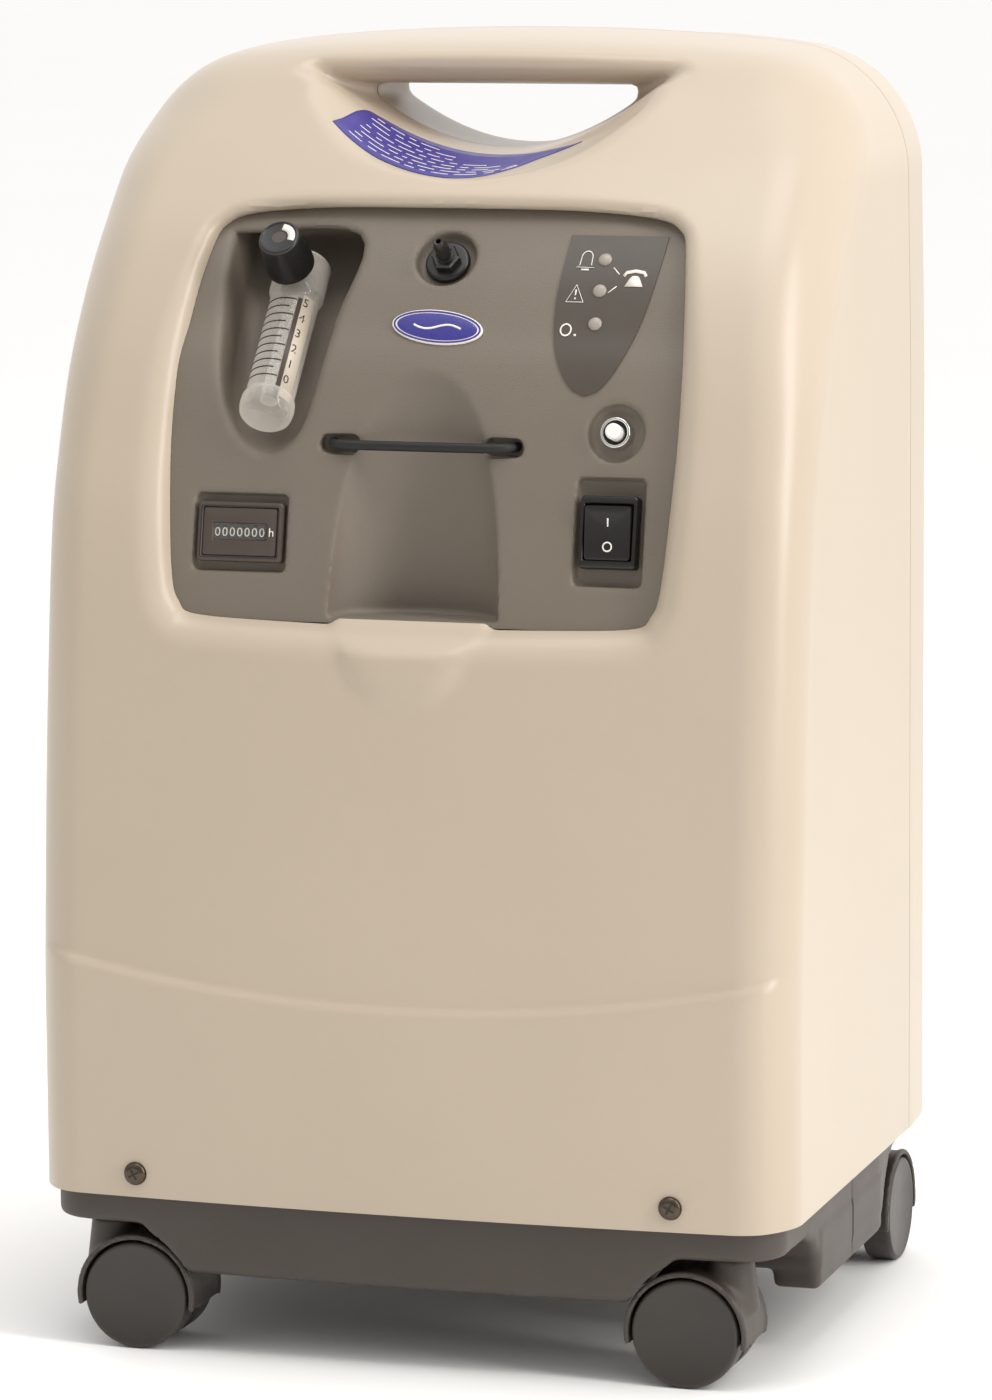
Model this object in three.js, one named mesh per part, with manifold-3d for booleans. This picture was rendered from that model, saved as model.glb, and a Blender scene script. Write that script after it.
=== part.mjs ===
// A home oxygen concentrator: a two-piece cabinet on a base tub with four twin-wheel casters, a control
// panel sunk in the front, and the oxygen circuit inside. Millimetres, +Z up, the front faces -Y and +X is
// on the right as seen from the front. The floor is z = 0.
import * as THREE from "three";
import { mergeVertices } from "three/addons/utils/BufferGeometryUtils.js";
import Module from "manifold-3d";

const wasm = await Module();
wasm.setup();

// ---- driving dimensions ----
const HALF_WIDTH = 190.5; // cabinet half width
const FRONT_Y = -152.5; // front of the cabinet before the depth shift
const SEAM_Y = 97; // plane where the front and rear covers meet
const REAR_Y = 152.5; // back of the rear cover
const DEPTH_SHIFT = -7.27; // moves the whole object so that its box is centred on the origin
const COVER_BOTTOM = 78;
const TOP_Z = 633;
const WALL = 3; // cover wall
const GAP = 0.35; // clearance between touching pieces
const WHEEL_R = 26.5;
const WHEEL_W = 15; // width of one wheel
const CASTER_TRAIL = 18; // stem axis to axle
const STEM_X = 157;
const STEM_FRONT_Y = -121;
const STEM_REAR_Y = 119;
const BASE_UNDER = 62; // underside of the base over the casters
const FLOW_TILT = THREE.MathUtils.degToRad(42); // the flowmeter leans back by this

// Side view of the front cover, from its bottom edge up the front and over the top to the seam: [y, z].
const FRONT_PROFILE = [
  [FRONT_Y, COVER_BOTTOM],
  [FRONT_Y, 172],
  [-149.3, 192],
  [-146, 245],
  [-140, 315],
  [-130, 397],
  [-118, 443],
  [-102, 487],
  [-76, 530],
  [-45, 565],
  [-10, 598],
  [14, 622],
  [33, 634],
  [62, 640],
  [SEAM_Y, 641],
];

// Side view of the control panel's face: [y, z].
const PANEL_PROFILE = [
  [-125, 342],
  [-121.5, 361],
  [-114.5, 400],
  [-104.5, 443],
  [-94, 477],
  [-83, 497],
  [-70, 520],
  [-54, 541],
  [-34, 564],
];

// Right half of the panel window, from the top centre clockwise: [x, z].
const WINDOW_HALF = [
  [0, 551.5],
  [60, 551],
  [100, 548],
  [114, 543],
  [119, 533],
  [123, 500],
  [125, 450],
  [124, 410],
  [121, 378],
  [117, 367],
  [108, 361.5],
  [60, 359],
  [0, 358],
];

// Colour, roughness and metalness of each material.
const LOOK = {
  beige: [0xd2c1aa, 0.5, 0],
  taupe: [0x6b6055, 0.6, 0],
  dark: [0x4c423a, 0.6, 0],
  black: [0x26221f, 0.45, 0],
  rubber: [0x1c1b1a, 0.8, 0],
  clear: [0xe8e6df, 0.1, 0],
  chrome: [0xd8d8d8, 0.15, 1],
  steel: [0x9a9a98, 0.35, 1],
  aluminium: [0xb4b6b8, 0.45, 1],
  white: [0xf2f0ea, 0.4, 0],
  blue: [0x3a3a8c, 0.45, 0],
  lens: [0xa8a39a, 0.3, 0],
  board: [0x1f5a38, 0.5, 0],
};

const everywhere = 400; // past the object on every side

const model = new THREE.Group();
model.position.y = DEPTH_SHIFT;

// ---- helpers: geometry, solids and placing ----
function solidOf(geometry) {
  const bare = geometry.index ? geometry.toNonIndexed() : geometry.clone();
  for (const name of Object.keys(bare.attributes)) {
    if (name !== "position") bare.deleteAttribute(name);
  }
  const merged = mergeVertices(bare, 1e-3);
  return new wasm.Manifold(
    new wasm.Mesh({
      numProp: 3,
      vertProperties: merged.attributes.position.array,
      triVerts: new Uint32Array(merged.index.array),
    }),
  );
}

function geometryOf(solid) {
  const mesh = solid.getMesh();
  const geometry = new THREE.BufferGeometry();
  geometry.setAttribute("position", new THREE.BufferAttribute(new Float32Array(mesh.vertProperties), 3));
  geometry.setIndex(new THREE.BufferAttribute(new Uint32Array(mesh.triVerts), 1));
  geometry.computeVertexNormals();
  return geometry;
}

function cut(body, ...tools) {
  return tools.reduce((left, tool) => left.subtract(tool), body);
}

function join(body, ...others) {
  return others.reduce((left, other) => left.add(other), body);
}

function add(name, shape, look, parent = model) {
  const [color, roughness, metalness] = LOOK[look];
  const geometry = shape.isBufferGeometry ? shape : geometryOf(shape);
  const mesh = new THREE.Mesh(geometry, new THREE.MeshStandardMaterial({ color, roughness, metalness }));
  mesh.name = name;
  parent.add(mesh);
  return mesh;
}

function boxGeometry(low, high) {
  const [w, d, h] = high.map((v, i) => v - low[i]);
  const [x, y, z] = high.map((v, i) => (v + low[i]) / 2);
  return new THREE.BoxGeometry(w, d, h).translate(x, y, z);
}

function box(low, high) {
  return solidOf(boxGeometry(low, high));
}

// A cylinder or cone along Z from z0 to z1.
function rodGeometry(r0, r1, z0, z1, x = 0, y = 0, sides = 24) {
  const cone = new THREE.CylinderGeometry(r1, r0, z1 - z0, sides);
  return cone.rotateX(Math.PI / 2).translate(x, y, (z0 + z1) / 2);
}

function rod(r0, r1, z0, z1, x = 0, y = 0, sides = 24) {
  return solidOf(rodGeometry(r0, r1, z0, z1, x, y, sides));
}

// A prism of an XZ outline, from y0 to y1.
function prismY(outline, y0, y1) {
  const shape = new THREE.Shape(outline.map(([x, z]) => new THREE.Vector2(x, z)));
  const geometry = new THREE.ExtrudeGeometry(shape, { depth: y1 - y0, bevelEnabled: false });
  return solidOf(geometry.rotateX(Math.PI / 2).translate(0, y1, 0));
}

// A prism of a YZ outline, from x0 to x1.
function prismX(outline, x0, x1) {
  const shape = new THREE.Shape(outline.map(([y, z]) => new THREE.Vector2(y, z)));
  const geometry = new THREE.ExtrudeGeometry(shape, { depth: x1 - x0, bevelEnabled: false });
  return solidOf(geometry.rotateY(Math.PI / 2).rotateX(Math.PI / 2).translate(x0, 0, 0));
}

// A prism of an XY outline, from z0 to z1.
function prismZ(outline, z0, z1) {
  const shape = new THREE.Shape(outline.map(([x, y]) => new THREE.Vector2(x, y)));
  const plate = new THREE.ExtrudeGeometry(shape, { depth: z1 - z0, bevelEnabled: false });
  return solidOf(plate.translate(0, 0, z0));
}

// A solid of revolution about Z from [radius, z] points, which start and end on the axis or close up.
function turned(profile, sides = 24) {
  const points = profile.map(([r, z]) => new THREE.Vector2(r, z));
  return solidOf(new THREE.LatheGeometry(points, sides).rotateX(Math.PI / 2));
}

// A [radius, y] profile turned about Y instead.
function turnedY(profile, sides = 24) {
  const points = profile.map(([r, y]) => new THREE.Vector2(r, y));
  return solidOf(new THREE.LatheGeometry(points, sides));
}

// A round tube along a smooth curve through points.
function tube(points, radius, steps = 24) {
  const section = new THREE.Shape().absarc(0, 0, radius, 0, 2 * Math.PI);
  const extrudePath = new THREE.CatmullRomCurve3(points.map((p) => new THREE.Vector3(...p)));
  const options = { steps, bevelEnabled: false, extrudePath, curveSegments: 4 };
  return solidOf(new THREE.ExtrudeGeometry(section, options));
}

// A closed skin through rings of equal length, with flat fans at both ends.
function loft(rings) {
  const positions = [];
  const push = (...points) => points.forEach((p) => positions.push(...p));
  const count = rings[0].length;
  for (let i = 0; i + 1 < rings.length; i++) {
    for (let j = 0; j < count; j++) {
      const k = (j + 1) % count;
      push(rings[i][j], rings[i][k], rings[i + 1][k]);
      push(rings[i][j], rings[i + 1][k], rings[i + 1][j]);
    }
  }
  for (const [ring, turn] of [[rings[0], -1], [rings.at(-1), 1]]) {
    const centre = [0, 1, 2].map((a) => ring.reduce((sum, p) => sum + p[a], 0) / count);
    for (let j = 0; j < count; j++) {
      const k = (j + 1) % count;
      if (turn > 0) push(ring[j], ring[k], centre);
      else push(ring[k], ring[j], centre);
    }
  }
  const geometry = new THREE.BufferGeometry();
  geometry.setAttribute("position", new THREE.BufferAttribute(new Float32Array(positions), 3));
  const solid = solidOf(geometry);
  if (solid.volume() > 0) return solid;
  return solidOf(flipped(geometry));
}

function flipped(geometry) {
  const array = geometry.attributes.position.array.slice();
  for (let i = 0; i < array.length; i += 9) {
    for (let a = 0; a < 3; a++) [array[i + a], array[i + 3 + a]] = [array[i + 3 + a], array[i + a]];
  }
  const reversed = new THREE.BufferGeometry();
  reversed.setAttribute("position", new THREE.BufferAttribute(array, 3));
  return reversed;
}

function mix(a, b, t) {
  return a + (b - a) * t;
}

// y of a [y, z] profile at a height, by straight interpolation.
function profileY(profile, z) {
  for (let i = 0; i + 1 < profile.length; i++) {
    const [y0, z0] = profile[i];
    const [y1, z1] = profile[i + 1];
    if (z <= z1 || i + 2 === profile.length) return mix(y0, y1, (z - z0) / (z1 - z0));
  }
  return profile.at(-1)[0];
}

function mirrored(half) {
  const left = half.slice(1, -1).reverse().map(([x, z]) => [-x, z]);
  return [...half, ...left];
}

// An outline moved outwards by a distance, each point along the mean normal of its two edges.
function grown(outline, distance) {
  const count = outline.length;
  const area = outline.reduce((sum, [x, z], i) => {
    const [nx, nz] = outline[(i + 1) % count];
    return sum + x * nz - nx * z;
  }, 0);
  const side = Math.sign(area) * distance;
  return outline.map(([x, z], i) => {
    const [px, pz] = outline[(i + count - 1) % count];
    const [nx, nz] = outline[(i + 1) % count];
    const a = new THREE.Vector2(x - px, z - pz).normalize();
    const b = new THREE.Vector2(nx - x, nz - z).normalize();
    const normal = new THREE.Vector2(a.y + b.y, -a.x - b.x).normalize();
    const stretch = side / Math.max(0.5, Math.abs(normal.dot(new THREE.Vector2(a.y, -a.x))));
    return [x + normal.x * stretch, z + normal.y * stretch];
  });
}

// The slab between a [y, z] profile moved by two depths along Y.
function slab(profile, depth0, depth1) {
  const near = profile.map(([y, z]) => [y + depth0, z]);
  const far = profile.map(([y, z]) => [y + depth1, z]).reverse();
  return prismX([...near, ...far], -HALF_WIDTH, HALF_WIDTH);
}

// ---- cabinet skin ----
const frontCurve = new THREE.SplineCurve(FRONT_PROFILE.map(([y, z]) => new THREE.Vector2(y, z)));
const PROFILE_STEPS = 22;
const CORNER_STEPS = 4;
const CROWN = 5; // how far the front bows out at the middle
const SHOULDER_R = 65;
const SHOULDER_Z = 558; // where the sides end and the shoulders start

// Radius of the rounding between front and sides: wider where the front leans back, tighter at the top.
function cornerRadius(z) {
  const { smoothstep } = THREE.MathUtils;
  return 27 + 9 * smoothstep(z, 400, 560) - 14 * smoothstep(z, 585, 630);
}

const SIDE_TOP = FRONT_PROFILE.at(-1)[1] - CROWN - cornerRadius(FRONT_PROFILE.at(-1)[1]);

// One row of the front cover's skin: from the seam on the left, round the front, to the seam on the right.
function skinRow(t, inset, seamY) {
  const point = frontCurve.getPoint(t);
  const tangent = frontCurve.getTangent(t);
  const radius = cornerRadius(point.y);
  const flat = HALF_WIDTH - radius;
  const at = (x, depth) => [x, t === 1 ? seamY : point.x + tangent.y * depth, point.y - tangent.x * depth];
  const corner = [];
  for (let i = 0; i <= CORNER_STEPS; i++) {
    const angle = (Math.PI / 2) * (1 - i / CORNER_STEPS);
    const reach = radius - inset;
    corner.push(at(-flat - reach * Math.sin(angle), inset + CROWN + reach * (1 - Math.cos(angle))));
  }
  const front = [-0.6, 0, 0.6].map((share) => at(flat * share, inset + CROWN * share * share));
  const side = [-(HALF_WIDTH - inset), seamY, mix(COVER_BOTTOM, SIDE_TOP, t)];
  const left = [side, ...corner];
  const right = left.map(([x, y, z]) => [-x, y, z]).reverse();
  return [...left, ...front, ...right];
}

// The solid inside the front cover's skin moved in by an inset, from a bottom height back to a seam plane.
function frontSolid(inset, bottom = COVER_BOTTOM, seamY = SEAM_Y) {
  const rows = [];
  for (let i = 0; i <= PROFILE_STEPS; i++) rows.push(skinRow(i / PROFILE_STEPS, inset, seamY));
  for (const point of rows[0]) point[2] = bottom;
  const positions = [];
  const face = (...points) => points.forEach((p) => positions.push(...p));
  const last = rows[0].length - 1;
  for (let i = 0; i < PROFILE_STEPS; i++) {
    for (let j = 0; j < last; j++) {
      face(rows[i][j], rows[i][j + 1], rows[i + 1][j + 1]);
      face(rows[i][j], rows[i + 1][j + 1], rows[i + 1][j]);
    }
  }
  const right = rows.map((row) => row[last]);
  const top = rows.at(-1).slice(1, last).reverse();
  const left = rows.map((row) => row[0]).reverse();
  const caps = [
    [rows[0], [0, 0, bottom]],
    [[...right, ...top, ...left], [0, seamY, 350]],
  ];
  for (const [ring, centre] of caps) {
    ring.forEach((point, i) => face(ring[(i + 1) % ring.length], point, centre));
  }
  const geometry = new THREE.BufferGeometry();
  geometry.setAttribute("position", new THREE.BufferAttribute(new Float32Array(positions), 3));
  return solidOf(geometry).intersect(prismY(archOutline(inset, bottom), -everywhere, everywhere));
}

// The cabinet's outline at the seam, moved in by an inset: [x, z], anticlockwise from the lower left.
function archOutline(inset, bottom) {
  const flat = HALF_WIDTH - SHOULDER_R;
  const radius = SHOULDER_R - inset;
  const right = [[HALF_WIDTH - inset, bottom]];
  for (let i = 0; i <= 6; i++) {
    const angle = (Math.PI / 2) * (i / 6);
    right.push([flat + radius * Math.cos(angle), SHOULDER_Z + radius * Math.sin(angle)]);
  }
  right.push([90, TOP_Z - 5 - inset], [50, TOP_Z - 1.5 - inset]);
  const left = right.map(([x, z]) => [-x, z]).reverse();
  return [...right, [0, TOP_Z - inset], ...left];
}

const REAR_ROUND = 18; // rounding between the rear cover's back and its sides
const REAR_TAPER = 3;

// The solid inside the rear cover's skin moved in by an inset.
function rearSolid(inset, bottom = COVER_BOTTOM, seamY = SEAM_Y) {
  const rings = [];
  const ring = (y, shrink) => rings.push(archOutline(inset + shrink, bottom).map(([x, z]) => [x, y, z]));
  ring(seamY, 0);
  for (let i = 0; i <= 4; i++) {
    const angle = (Math.PI / 2) * (i / 4);
    const reach = REAR_ROUND - inset;
    ring(REAR_Y - REAR_ROUND + reach * Math.sin(angle), REAR_TAPER + reach * (1 - Math.cos(angle)));
  }
  return loft(rings);
}

// The grip scoop and the tunnel behind it: [y, half width, side height, floor height, top height].
const SCOOP = [
  [-62, 25, 575, 561.5, 660],
  [-45, 30, 571, 564.5, 660],
  [-39, 60, 576.5, 565.5, 660],
  [-31, 75, 584, 567, 660],
  [-18, 84, 594.5, 569, 660],
  [-5, 93, 605.5, 571.5, 660],
  [8, 97, 618, 573.5, 660],
  [14, 96, 620, 574.5, 640],
  [18, 90, 613, 575.5, 623],
  [26, 77, 605, 576.5, 612],
  [36, 65, 600, 576, 607],
  [84, 65, 600, 575.5, 607],
  [97, 74, 600, 572, 616],
  [112, 86, 603, 567, 650],
  [160, 104, 608, 556, 660],
];
const TUNNEL_SEAM = 37; // the front cover's scoop ends here and the rear cover's tunnel starts

function scoopSolid(extra) {
  const steps = 10;
  const rings = SCOOP.map(([y, half, side, floor, top]) => {
    const reach = half + extra;
    const low = floor - extra;
    const ring = [];
    for (let i = 0; i <= steps; i++) {
      const share = (2 * i) / steps - 1;
      ring.push([reach * share, y, low + (side - floor) * share * share]);
    }
    ring.push([reach, y, Math.max(top + extra, side + 2)], [-reach, y, Math.max(top + extra, side + 2)]);
    return ring;
  });
  return loft(rings);
}

const windowOutline = mirrored(WINDOW_HALF);
const scoop = scoopSolid(0);
const scoopWall = scoopSolid(WALL);

function halfSpaceY(y0, y1) {
  return box([-everywhere, y0, -everywhere], [everywhere, y1, 2 * everywhere]);
}

const SCREW_X = 134.5;
const SCREW_Z = 89.7;
const SHELF_HALF = 39; // half width of the shelf under the bottle niche
// Side view of the shelf: [y, z].
const SHELF_PROFILE = [
  [-122.4, 361],
  [-134, 354],
  [-137, 350],
  [-139.5, 328],
  [-130, 330],
  [-122.4, 350],
];

function frontCover() {
  const outer = frontSolid(0);
  const shell = cut(outer, frontSolid(WALL, COVER_BOTTOM - 5, SEAM_Y + 5));
  const bowl = scoopWall.intersect(outer).intersect(halfSpaceY(-everywhere, TUNNEL_SEAM));
  const frontFace = FRONT_PROFILE.filter(([, z]) => z > 300 && z < 600);
  const behind = PANEL_PROFILE.map(([y, z]) => [y - GAP, z]).reverse();
  const collarDepth = prismX([...frontFace, ...behind], -HALF_WIDTH, HALF_WIDTH);
  const collar = prismY(grown(windowOutline, WALL), -everywhere, 0).intersect(collarDepth);
  const shelf = prismX(SHELF_PROFILE, -SHELF_HALF, SHELF_HALF);
  const opening = cut(prismY(windowOutline, -everywhere, 0), box([-39.5, -200, 340], [39.5, 0, 361]));
  const body = join(shell, bowl, collar.intersect(frontSolid(0.5)), shelf);
  const screwHoles = [-1, 1].map((side) => pinY(3, FRONT_Y - 5, FRONT_Y + 10, side * SCREW_X, SCREW_Z));
  return cut(body, opening, scoop, ...screwHoles);
}

// A cylinder along Y.
function pinY(radius, y0, y1, x, z, sides = 16) {
  return solidOf(rodGeometry(radius, radius, y0, y1, 0, 0, sides).rotateX(-Math.PI / 2).translate(x, 0, z));
}

function rearCover() {
  const outer = rearSolid(0);
  const shell = cut(outer, rearSolid(WALL, COVER_BOTTOM - 5, SEAM_Y - 5));
  const sleeve = scoopWall.intersect(halfSpaceY(TUNNEL_SEAM + GAP, REAR_Y));
  const inside = join(outer, frontSolid(WALL + GAP));
  const slots = [];
  for (let i = 0; i < 9; i++) slots.push(box([-62, 140, 250 + i * 12], [62, 160, 256 + i * 12]));
  const filterPort = box([-52, 140, 398], [52, 160, 482]);
  const inletPort = box([52, 140, 104], [84, 160, 130]);
  return cut(join(shell, sleeve.intersect(inside)), scoop, ...slots, filterPort, inletPort);
}

// ---- base tub ----
const BELLY_Z = 40; // underside between the wheel wells
const SKID_Z = 31; // underside of the side skids
const BASE_INSET = 6.5; // base wall inside the cover's skin
const BASE_WALL = 4;
const BASE_RIM_Z = 84;
// Wheel well about a caster's stem: [radius, z].
const WELL = [
  [0, 10],
  [52.5, 10],
  [52.5, 34],
  [48, 45],
  [41, 53],
  [30, BASE_UNDER],
  [0, BASE_UNDER],
];
// What the base's lower edge leaves out in front of and behind the side skids: [y, z].
const FRONT_TRIM = [
  [-200, 10],
  [-59.5, 10],
  [-59.5, SKID_Z],
  [-62, 48],
  [-70, 57],
  [-84, BASE_UNDER],
  [-200, BASE_UNDER],
];
const REAR_TRIM = [
  [200, BASE_UNDER],
  [112, BASE_UNDER],
  [101, 55],
  [95, 45],
  [87, 36],
  [72, 30],
  [72, 10],
  [200, 10],
];
const casters = [
  { side: "front_left", x: -STEM_X, y: STEM_FRONT_Y, turn: 0 },
  { side: "front_right", x: STEM_X, y: STEM_FRONT_Y, turn: Math.PI },
  { side: "rear_left", x: -STEM_X, y: STEM_REAR_Y, turn: Math.PI / 2 },
  { side: "rear_right", x: STEM_X, y: STEM_REAR_Y, turn: Math.PI / 2 },
];

// The base's plan outline: the cover's skin moved in, closed round the back with rounded corners.
function baseOutline(inset) {
  const front = skinRow(0, inset, 60).map(([x, y]) => [x, y]);
  const back = [];
  for (let i = 0; i <= 4; i++) {
    const angle = (Math.PI / 2) * (i / 4);
    const radius = 24 - inset;
    back.push([159 + radius * Math.cos(angle), 129 + radius * Math.sin(angle)]);
  }
  return [...front, ...back, ...back.map(([x, y]) => [-x, y]).reverse()];
}

function bothSides(outline, x0, x1) {
  return [prismX(outline, x0, x1), prismX(outline, -x1, -x0)];
}

function baseTub() {
  const outer = prismZ(baseOutline(BASE_INSET), BELLY_Z, BASE_RIM_Z);
  const inner = prismZ(baseOutline(BASE_INSET + BASE_WALL), BELLY_Z + BASE_WALL, BASE_RIM_Z + 10);
  const well = turned(WELL, 28);
  const raised = WELL.map(([r, z]) => [r && r + BASE_WALL, z === BASE_UNDER ? z + BASE_WALL : z]);
  const wellWall = turned(raised, 20);
  const at = (solid) => casters.map(({ x, y }) => solid.translate([x, y, 0]));
  const corners = [FRONT_TRIM, REAR_TRIM].flatMap((trim) => bothSides(grown(trim, BASE_WALL), 131, 210));
  const linings = [...at(wellWall), ...corners].map((solid) => solid.intersect(outer));
  const skid = prismX([[-59.5, SKID_Z], [72, SKID_Z], [72, 50], [-59.5, 50]], 160, HALF_WIDTH - BASE_INSET);
  const skids = [skid, skid.mirror([1, 0, 0])];
  const tabs = [-1, 1].map((side) => {
    const middle = side * SCREW_X;
    return box([middle - 11, -160, BASE_RIM_Z - 6], [middle + 11, -136, 98]).intersect(
      prismZ(baseOutline(BASE_INSET), BASE_RIM_Z - 6, 98),
    );
  });
  const tub = join(cut(outer, inner), ...linings, ...skids, ...at(rod(11, 10, BASE_UNDER, 96)), ...tabs);
  const trims = [FRONT_TRIM, REAR_TRIM].flatMap((trim) => bothSides(trim, 135, 210));
  const screwHoles = [-1, 1].map((side) => pinY(3, -160, -130, side * SCREW_X, SCREW_Z));
  return cut(tub, ...trims, ...at(well), ...at(rod(5.8, 5.8, 50, 100, 0, 0, 16)), ...screwHoles);
}

// ---- casters ----
const WHEEL_INNER = 5; // inner face of a wheel from the caster's middle plane
const HOOD_STEPS = 12;
const FENDER_IN = 27.6;
const FENDER_OUT = 30.4;
const FENDER_END = 12; // the fender ends this many degrees below the axle
const WEB_R = 29; // the web between the wheels reaches into the fender
const STEM_FOOT = 50.3;
const STEM_TOP = 92;
const AXLE_R = 3;
const BORE_GAP = 0.3;

function wheel(side) {
  const y0 = WHEEL_INNER;
  const y1 = WHEEL_INNER + WHEEL_W;
  const r = WHEEL_R;
  const bore = AXLE_R + BORE_GAP;
  const profile = [
    [bore, y0],
    [r - 2, y0],
    [r, y0 + 1.5],
    [r, y1 - 3],
    [r - 3.5, y1],
    [0, y1],
    [0, y1 - 1.5],
    [bore, y1 - 1.5],
    [bore, y0],
  ].map(([radius, y]) => [radius, side * y]);
  const solid = turnedY(side > 0 ? profile : profile.reverse(), 26);
  return solid.translate([CASTER_TRAIL, 0, WHEEL_R]);
}

// The hood: a stem boss over a fender that covers both wheels, on a web between them that carries the axle.
function casterHood() {
  const fender = [];
  const [low, high] = [-FENDER_END, 180 + FENDER_END];
  for (const [radius, from, to] of [[FENDER_OUT, low, high], [FENDER_IN, high, low]]) {
    for (let i = 0; i <= HOOD_STEPS; i++) {
      const angle = THREE.MathUtils.degToRad(mix(from, to, i / HOOD_STEPS));
      fender.push([CASTER_TRAIL + radius * Math.cos(angle), WHEEL_R + radius * Math.sin(angle)]);
    }
  }
  const web = [];
  for (let i = 0; i <= HOOD_STEPS; i++) {
    const angle = THREE.MathUtils.degToRad(mix(-FENDER_END, 180 + FENDER_END, i / HOOD_STEPS));
    web.push([CASTER_TRAIL + WEB_R * Math.cos(angle), WHEEL_R + WEB_R * Math.sin(angle)]);
  }
  web.push([CASTER_TRAIL - 6, WHEEL_R - 8], [CASTER_TRAIL + 6, WHEEL_R - 8]);
  const half = WHEEL_INNER + WHEEL_W + 0.5;
  const wheelSpace = rodGeometry(FENDER_IN, FENDER_IN, -half - 5, half + 5, 0, 0, 24).rotateX(-Math.PI / 2);
  const space = solidOf(wheelSpace.translate(CASTER_TRAIL, 0, WHEEL_R));
  const boss = cut(rod(12, 10.5, 40, 61.4, 0, 0, 20), space);
  const body = join(prismY(fender, -half, half), prismY(web, -WHEEL_INNER + 0.6, WHEEL_INNER - 0.6), boss);
  const stemBore = rod(5.8, 5.8, STEM_FOOT - BORE_GAP, 70, 0, 0, 16);
  return cut(body, stemBore, pinY(AXLE_R + BORE_GAP, -20, 20, CASTER_TRAIL, WHEEL_R));
}

function addCaster({ side, x, y, turn }) {
  const group = new THREE.Group();
  group.position.set(x, y, 0);
  group.rotation.z = turn;
  model.add(group);
  const profile = [[0, STEM_FOOT], [5.5, STEM_FOOT], [5.5, STEM_TOP - 2], [4, STEM_TOP], [0, STEM_TOP]];
  const stem = turned(profile, 16);
  const axle = pinY(AXLE_R, -WHEEL_INNER - WHEEL_W + 2, WHEEL_INNER + WHEEL_W - 2, CASTER_TRAIL, WHEEL_R, 12);
  add(`caster_hood_${side}`, casterHood(), "dark", group);
  add(`caster_stem_${side}`, stem, "steel", group);
  add(`caster_axle_${side}`, axle, "steel", group);
  add(`wheel_${side}_a`, wheel(-1), "rubber", group);
  add(`wheel_${side}_b`, wheel(1), "rubber", group);
}

// ---- control panel ----
const PANEL_WALL = 3;
const POCKET_WALL = 2.5;
const NICHE = { halfX: 43, halfY: 30, y: -124, floor: 361 }; // bottle niche: an upright elliptical well
const FLOW_FLOOR = [[-92, 444], [-20, 530], [-20, 600]]; // back of the flowmeter pocket: [y, z]
const FLOW_POCKET = [
  [-104, 538],
  [-47, 538],
  [-51, 500],
  [-58, 466],
  [-66, 446],
  [-79, 438],
  [-93, 445],
  [-102, 480],
  [-105, 510],
];
const OUTLET = { x: 0, z: 529, r: 15, depth: 6 };
const BREAKER = { x: 96, z: 451, r: 14, depth: 5 };
const SWITCH = { x: 95.5, z: 405, halfX: 17, halfZ: 26, depth: 6 };
const METER = { x: -88.5, z: 400, halfX: 23.5, halfZ: 19, depth: 5 };
const STRAP_Z = 442.5;
const STRAP_SLOT = [31, 51]; // the strap's slots run between these distances from the middle

function panelLean(z) {
  return Math.atan2(profileY(PANEL_PROFILE, z + 8) - profileY(PANEL_PROFILE, z - 8), 16);
}

// The frame of something fixed to the panel's face: X to the right, Z up the face, -Y out of it.
function panelMatrix(x, z) {
  const turn = new THREE.Matrix4().makeRotationX(-panelLean(z));
  return new THREE.Matrix4().makeTranslation(x, profileY(PANEL_PROFILE, z), z).multiply(turn);
}

function panelGroup({ x, z }) {
  const group = new THREE.Group();
  group.applyMatrix4(panelMatrix(x, z));
  model.add(group);
  return group;
}

// A recess in the panel's face, round or square, grown by a wall.
function recess({ x, z, r, halfX, halfZ, depth }, wall) {
  const y0 = wall ? 0 : -20;
  const y1 = depth + wall;
  const round = () => rodGeometry(r + wall, r + wall, y0, y1, 0, 0, 24).rotateX(-Math.PI / 2);
  const square = () => boxGeometry([-halfX - wall, y0, -halfZ - wall], [halfX + wall, y1, halfZ + wall]);
  return solidOf((r ? round() : square()).applyMatrix4(panelMatrix(x, z)));
}

function niche(wall, z1) {
  const geometry = rodGeometry(1, 1, NICHE.floor - wall, z1, 0, 0, 28);
  return solidOf(geometry.scale(NICHE.halfX + wall, NICHE.halfY + wall, 1).translate(0, NICHE.y, 0));
}

function flowPocket(wall) {
  const back = [...FLOW_FLOOR.map(([y, z]) => [y + wall, z]), [-250, 600], [-250, 380], [-110 + wall, 422]];
  return prismY(grown(FLOW_POCKET, wall), -everywhere, 0).intersect(prismX(back, -HALF_WIDTH, HALF_WIDTH));
}

function strapSlots(margin) {
  return [-1, 1].map((side) => {
    const [x0, x1] = STRAP_SLOT.map((x) => side * x).sort((p, q) => p - q);
    return box([x0 - margin, -130, STRAP_Z - 4.5 - margin], [x1 + margin, -85, STRAP_Z + 4.5 + margin]);
  });
}

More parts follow.
